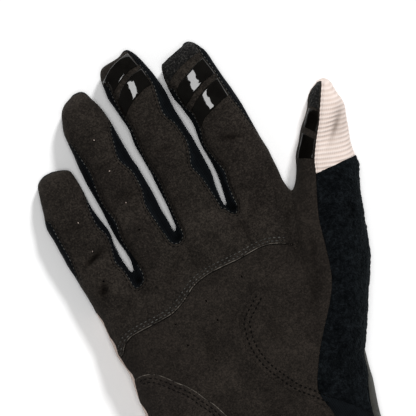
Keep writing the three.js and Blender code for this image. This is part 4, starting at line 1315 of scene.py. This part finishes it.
panels = {}
for panel_name, (_, region) in PANELS.items():
    panels[panel_name] = keep_largest(both(duplicate(rest, panel_name), region(0.0)))
    minus(rest, region(2 * KERF))
remove(rest)


def outside_share(points):
    """1 at points on the outer skin, down to 0 inside."""
    away = np.array([skin_tree.find_nearest(Vector(point))[3] for point in points])
    return 1 - smoothstep(away, 0.05, 0.5)


def ribbed(item):
    """Adds the rib knit's ribs as real relief."""
    subdivision = item.modifiers.new("finer", "SUBSURF")
    subdivision.subdivision_type = "SIMPLE"
    subdivision.levels = 1
    apply_modifiers(item)
    points, normals = points_and_normals(item)
    ribs = np.sin((points + SHIFT) @ RIB_DIRECTION * 2 * math.pi / RIB_PITCH)
    relief = RIB_DEPTH * ribs * outside_share(points) * smoothstep(points[:, 2], 0.2, 1)
    set_points(item, points + normals * relief[:, None])


def piled(item):
    """Adds the terry's loops as a rough relief."""
    points, normals = points_and_normals(item)
    rough = sum(depth * waves(points, *rows) for depth, *rows in PILE)
    relief = rough * outside_share(points) * smoothstep(points[:, 2], 0.3, 1.5)
    set_points(item, points + normals * relief[:, None])


def circle(radius, count):
    turns = np.linspace(0, 2 * math.pi, count, endpoint=False)
    return radius * np.column_stack([np.cos(turns), np.sin(turns)])


ribbed(panels["thumb_wipe"])
piled(panels["thumb_back"])
for order, hole in enumerate(VENT_HOLES):
    punched = panels["palm_front" if order < UPPER_VENTS else "palm_lower"]
    column = prism(circle(VENT_RADIUS, VENT_SIDES) + hole, low=VENT_LOW, high=VENT_HIGH)
    minus(punched, column)

for panel_name, panel in panels.items():
    finish_piece(panel, "panel_" + panel_name, PANELS[panel_name][0], [panel_name])


# Bands and patches that follow a limb's surface


def patch_base(part, at, turn):
    """Points and normals of a limb's surface at shares and turns."""
    step_at, step_turn = 0.002, 0.5
    points = limb_points(part, at, turn)
    along = limb_points(part, at + step_at, turn) - limb_points(part, at - step_at, turn)
    round_limb = limb_points(part, at, turn + step_turn) - limb_points(part, at, turn - step_turn)
    normals = np.cross(along, round_limb)
    length = np.linalg.norm(normals, axis=-1, keepdims=True)
    return points, normals / np.maximum(length, 1e-9)


def band_grid(part, near, far, left_limit, right_limit):
    """Shares and turns over a band between two lines across a limb."""
    near, far = np.array(near), np.array(far)
    u = np.linspace(0, 1, BAND_COLUMNS)[None, :]
    v = np.linspace(0, 1, BAND_ROWS)[:, None]
    at = np.full((BAND_ROWS, BAND_COLUMNS), (near[:, 1].mean() + far[:, 1].mean()) / 2)
    for _ in range(BAND_ROUNDS):
        left = left_limit(at) + BAND_MARGIN
        right = right_limit(at) - BAND_MARGIN
        across = left + (right - left) * u
        low, high = read(near, 1, across), read(far, 1, across)
        at = low + (high - low) * v
    return at, turn_at(part, at, across)


def from_border(points):
    """The distance of each point of a grid from the two ends of its column."""
    arc = np.cumsum(np.linalg.norm(np.diff(points, axis=0), axis=2), axis=0)
    arc = np.concatenate([np.zeros((1, points.shape[1])), arc])
    return np.minimum(arc, arc[-1:] - arc)


def band(name, part, lines, limits, finish, thickness, edge=0.7, uneven=0.0, grain=0.0, seed=1):
    """A thin layer with a rounded edge that lies on a limb."""
    at, turn = band_grid(part, *lines, *limits)
    grid, normals = patch_base(part, at, turn)
    base, normals = grid.reshape(-1, 3), normals.reshape(-1, 3)
    on_skin = base + normals * soft_relief(base, normals)[:, None]
    to_side = from_border(grid.transpose(1, 0, 2)).T
    inward = np.clip(np.minimum(to_side, from_border(grid)) / edge, 0, 1).ravel()
    height = BAND_LIFT + thickness * (BAND_RIM + (1 - BAND_RIM) * quarter_round(inward))
    height += uneven * inward * waves(base, count=8, shortest=6, longest=15, seed=seed)
    height += grain * inward * waves(base, count=26, shortest=0.8, longest=1.7, seed=seed + 1)
    top = on_skin + normals * height[:, None]
    bottom = on_skin + normals * (BAND_LIFT - BAND_SINK)
    count = BAND_ROWS * BAND_COLUMNS
    index = np.arange(count).reshape(BAND_ROWS, BAND_COLUMNS)
    border = [*index[0], *index[1:, -1], *index[-1, -2::-1], *index[-2:0:-1, 0]]
    border = [int(corner) for corner in border]
    faces = grid_faces(BAND_ROWS, BAND_COLUMNS)
    faces += flipped(grid_faces(BAND_ROWS, BAND_COLUMNS, count))
    for here, after in zip(border, border[1:] + border[:1]):
        faces.append((after, here, here + count, after + count))
    item = mesh_object(name, np.concatenate([top, bottom]), faces)
    face_outward(item)
    finish_piece(item, name + "_layer", finish, [name], sharp_degrees=60)


def suede_limits(finger):
    """The suede's edges as shares across a finger, kept just inside its sides."""
    return (
        lambda at: np.maximum(read(finger.suede, 1, at), section(finger, 1, at) * SIDE_SHARE),
        lambda at: np.minimum(read(finger.suede, 2, at), section(finger, 2, at) * SIDE_SHARE),
    )


OUTER_ROWS = np.array(OUTER_SEAM[:OUTER_TIP_ROWS])[::-1]
THUMB_LIMITS = (
    lambda at: section(THUMB, 1, at) * THUMB_SIDE_SHARE,
    lambda at: read(OUTER_ROWS, 1, at),
)

for limb_name, part, bands, limits in (
    ("index", INDEX, INDEX_BANDS, suede_limits(INDEX)),
    ("middle", MIDDLE, MIDDLE_BANDS, suede_limits(MIDDLE)),
    ("thumb", THUMB, THUMB_BANDS, THUMB_LIMITS),
):
    for order, (band_name, lines) in enumerate(bands.items()):
        if band_name == "tip":
            band(limb_name + "_touch_patch", part, lines, limits, TOUCH, thickness=0.35,
                 grain=0.09, seed=21 + order)
        elif part is THUMB:
            band(f"{limb_name}_grip_{band_name}", part, lines, limits, THUMB_SILICONE,
                 thickness=0.3, edge=1.3, uneven=0.09, seed=41 + order)
        else:
            band(f"{limb_name}_grip_{band_name}", part, lines, limits, SILICONE,
                 thickness=0.6, uneven=0.09, seed=41 + order)


# The heel patch, cut from a raised copy of the skin


def heel_patch():
    """Makes the heel patch, and gives a tree of the raised skin for its threads."""
    top, low = duplicate(outer_skin, "heel_top"), duplicate(outer_skin, "heel_low")
    points, normals = points_and_normals(top)
    set_points(low, points + normals * HEEL_UNDERSIDE)
    edge_tree = plan_tree(HEEL_CURVE)
    away = np.array([edge_tree.find((x, y, 0))[2] for x, y in points[:, :2]])
    height = HEEL_RIM + HEEL_RISE * quarter_round(np.clip(away / HEEL_ROUNDING, 0, 1))
    height -= HEEL_ROW_DEPTH * sewn_rows(away, HEEL_ROWS, width=0.6)
    set_points(top, points + normals * height[:, None])
    tree = surface_tree(top)
    region = both(prism(left_of(HEEL_CURVE), low=-5, high=60), palm_side(-HEEL_CLEARANCE))
    minus(region, prism(left_strip(), HEEL_CLEARANCE / 2), cuff_region(HEEL_CLEARANCE))
    item = keep_largest(minus(both(top, region), low))
    finish_piece(item, "heel_patch_layer", SUEDE_HEEL, ["heel_patch"])
    return tree


heel_tree = heel_patch()
remove(outer_skin)


# Threads and edges that lie on the skin


def drape(line, lift, tree=skin_tree):
    """Points of a line in plan, laid on the palm side of the skin. None where it is missed."""
    laid = []
    for x, y in line:
        hit, normal, _, _ = tree.ray_cast(Vector((x, y, ABOVE_ALL)), Vector((0, 0, -1)))
        laid.append(None if hit is None else hit + normal * lift)
    return laid


def tube_mesh(paths, sides=6):
    """Closed tubes. Each path is a list of a point and its radius."""
    vertices, faces = [], []
    for path in paths:
        points = np.array([tuple(point) for point, _ in path])
        tangents = np.gradient(points, axis=0)
        tangents /= np.linalg.norm(tangents, axis=1)[:, None]
        faces += tube_faces(len(path), sides, len(vertices))
        for point, tangent, (_, radius) in zip(points, tangents, path):
            side = np.cross(tangent, (0, 0, 1))
            side /= max(np.linalg.norm(side), 1e-9)
            up = np.cross(side, tangent)
            for turn in np.linspace(0, 2 * math.pi, sides, endpoint=False):
                vertices.append(point + radius * (math.cos(turn) * side + math.sin(turn) * up))
    return vertices, faces


def stitches(line, pitch, length, radius, lift=0.1, tree=skin_tree):
    """Paths of short arched stitches along a line in plan."""
    fine = resample(line, STITCH_STEP)
    per_pitch, per_length = int(pitch / STITCH_STEP), int(length / STITCH_STEP)
    paths = []
    for start in range(2, len(fine) - per_length, per_pitch):
        places = np.linspace(start, start + per_length, len(STITCH_ARCH)).astype(int)
        laid = drape(fine[places], 0, tree)
        if any(point is None for point in laid):
            continue
        if max(abs(a.z - b.z) for a, b in zip(laid, laid[1:])) > STEEPEST_STITCH:
            continue
        paths.append([
            (point + Vector((0, 0, lift * rise)), radius * width)
            for point, rise, width in zip(laid, STITCH_ARCH, STITCH_WIDTH)
        ])
    return paths


def rows_of_stitches(line, rows, **stitch):
    return [path for row in rows for path in stitches(offset_line(line, row), **stitch)]


def finger_stitches(inward, length, radius):
    """Stitches beside every edge of the fingers' suede, towards the suede or away."""
    lines = [
        offset_line(line, -side * inward)
        for side, line in suede_sides(root=(0.04, 0.04), tip=0.9, index_root=0.36, index_tip=0.97)
    ]
    lines += [offset_line(line, inward) for line in CROTCH_CURVES]
    return [path for line in lines for path in stitches(line, FINGER_STITCH_PITCH, length, radius)]


def thread_piece(name, paths, finish):
    item = mesh_object(name, *tube_mesh(paths))
    face_outward(item)
    finish_piece(item, name, finish, sharp_degrees=80)


def edge_cord(name, line, radius, lift, finish, tree=skin_tree):
    """A thin raised edge laid along a line."""
    laid = [point for point in drape(resample(line, 0.6), lift, tree) if point is not None]
    thread_piece(name, [[(point, radius) for point in laid]], finish)


cross_line = CROSS_CURVE[CROSS_SEWN]
cross_fold, cross_shade = offset_line(cross_line, 0.2), offset_line(cross_line, -0.18)
cross_paths = rows_of_stitches(cross_line, LAP_ROWS, pitch=2.0, length=1.2, radius=0.24)
thread_piece("cross_seam_stitches", cross_paths, FLECK_THREAD)
# The cross seam's raised edge cord is lightened as a painted highlight.
edge_cord("cross_seam_edge", cross_fold, radius=0.16, lift=0.02, finish=EDGE_PAINTED_HIGHLIGHT)
# The dark cord beside the edge is a painted shadow under the lap.
edge_cord("cross_seam_shadow", cross_shade, radius=0.17, lift=-0.05, finish=DARK_THREAD_AND_PAINTED_SHADOW)

inner_paths = finger_stitches(inward=0.9, length=1.1, radius=0.2)
thread_piece("finger_seam_stitches", inner_paths, DARK_THREAD_AND_PAINTED_SHADOW)
edge_paths = finger_stitches(inward=-0.35, length=1.0, radius=0.18)
thread_piece("finger_edge_stitches", edge_paths, FLECK_THREAD)

heel_line = HEEL_CURVE[HEEL_SEWN]
heel_paths = rows_of_stitches(
    heel_line, [-row for row in HEEL_ROWS], pitch=2.3, length=1.4, radius=0.24, lift=0.06,
    tree=heel_tree,
)
thread_piece("heel_stitches", heel_paths, DARK_THREAD_AND_PAINTED_SHADOW)
# The heel patch's raised edge cord is lightened as a painted highlight.
edge_cord(
    "heel_patch_edge", offset_line(heel_line, -0.2), radius=0.17, lift=0.0, finish=EDGE_PAINTED_HIGHLIGHT,
    tree=heel_tree,
)

thenar_paths = rows_of_stitches(
    THENAR_CURVE[THENAR_SEWN], THENAR_ROWS, pitch=2.1, length=1.2, radius=0.32, lift=0.05,
)
thread_piece("thenar_stitches", thenar_paths, DARK_THREAD_AND_PAINTED_SHADOW)


def vent_dots(holes, sides=10):
    """The pale lining seen through vent holes, as small discs."""
    vertices, faces = [], []
    for point in drape(holes, -VENT_DEPTH):
        faces += flipped(tube_faces(2, sides, len(vertices)))
        for lift in (0.1, -0.1):
            vertices += [point + Vector((x, y, lift)) for x, y in circle(VENT_RADIUS * 0.7, sides)]
    item = mesh_object("vent_lining", vertices, faces)
    face_outward(item)
    finish_piece(item, "vent_lining", PALE_CLOTH)


vent_dots([VENT_HOLES[order] for order in PALE_VENTS])


# Studio


def camera():
    """A long lens straight above, turned as the photograph is."""
    data = bpy.data.cameras.new("camera")
    data.sensor_width = SENSOR_WIDTH
    data.lens = SENSOR_WIDTH * CAMERA_DISTANCE / VIEW_WIDTH
    data.clip_end = 20
    item = add_object("camera", data)
    middle = np.array([*VIEW_MIDDLE, 0]) + SHIFT
    item.location = Vector((middle[0], middle[1], AIM_HEIGHT + CAMERA_DISTANCE)) * MM
    item.rotation_euler = (0, 0, math.radians(VIEW_TURN))
    bpy.context.scene.camera = item


def aim(item, direction):
    item.rotation_euler = Vector(direction).to_track_quat("-Z", "Y").to_euler()


def softbox(location, target, size, power_watts):
    data = bpy.data.lights.new("softbox", "AREA")
    data.shape = "RECTANGLE"
    data.size, data.size_y = size
    data.energy = power_watts
    item = add_object("softbox", data)
    item.location = location
    aim(item, Vector(target) - Vector(location))


def sun_light(direction, strength, angle_degrees):
    """The key light that throws the shadow, left out of the gloss."""
    data = bpy.data.lights.new("key", "SUN")
    data.energy = strength
    data.angle = math.radians(angle_degrees)
    item = add_object("key", data)
    aim(item, direction)
    item.visible_glossy = False


def studio_world(strength, glossy_strength):
    """A pale surround that lights the cloth and shows only faintly in the gloss."""
    world = bpy.data.worlds.new("studio")
    bpy.context.scene.world = world
    world.use_nodes = True
    tree = world.node_tree
    background = tree.nodes["Background"]
    background.inputs["Color"].default_value = (1, 1, 1, 1)
    path = tree.nodes.new("ShaderNodeLightPath")
    mix = tree.nodes.new("ShaderNodeMix")
    mix.inputs["A"].default_value = strength
    mix.inputs["B"].default_value = glossy_strength
    tree.links.new(path.outputs["Is Glossy Ray"], mix.inputs["Factor"])
    tree.links.new(mix.outputs["Result"], background.inputs["Strength"])


def floor(size):
    corners = [(-size, -size, 0), (size, -size, 0), (size, size, 0), (-size, size, 0)]
    item = mesh_object("floor", corners, [(0, 1, 2, 3)])
    look = Surface("floor_white", 0.9, specular=0.0)
    look.colours(look.noise(400, 2, 0.5), (0.3, (246, 246, 246)), (0.7, (250, 250, 250)))
    item.data.materials.append(look.material)


camera()
floor(size=3.0)
studio_world(strength=0.27, glossy_strength=0.05)
sun_light(direction=(-0.84, -0.84, -1.0), strength=2.25, angle_degrees=9)
softbox(location=(0.0, 0.1, 3.0), target=(0.0, 0.03, 0), size=(0.84, 1.4), power_watts=41)
bpy.context.scene.view_settings.view_transform = "Standard"
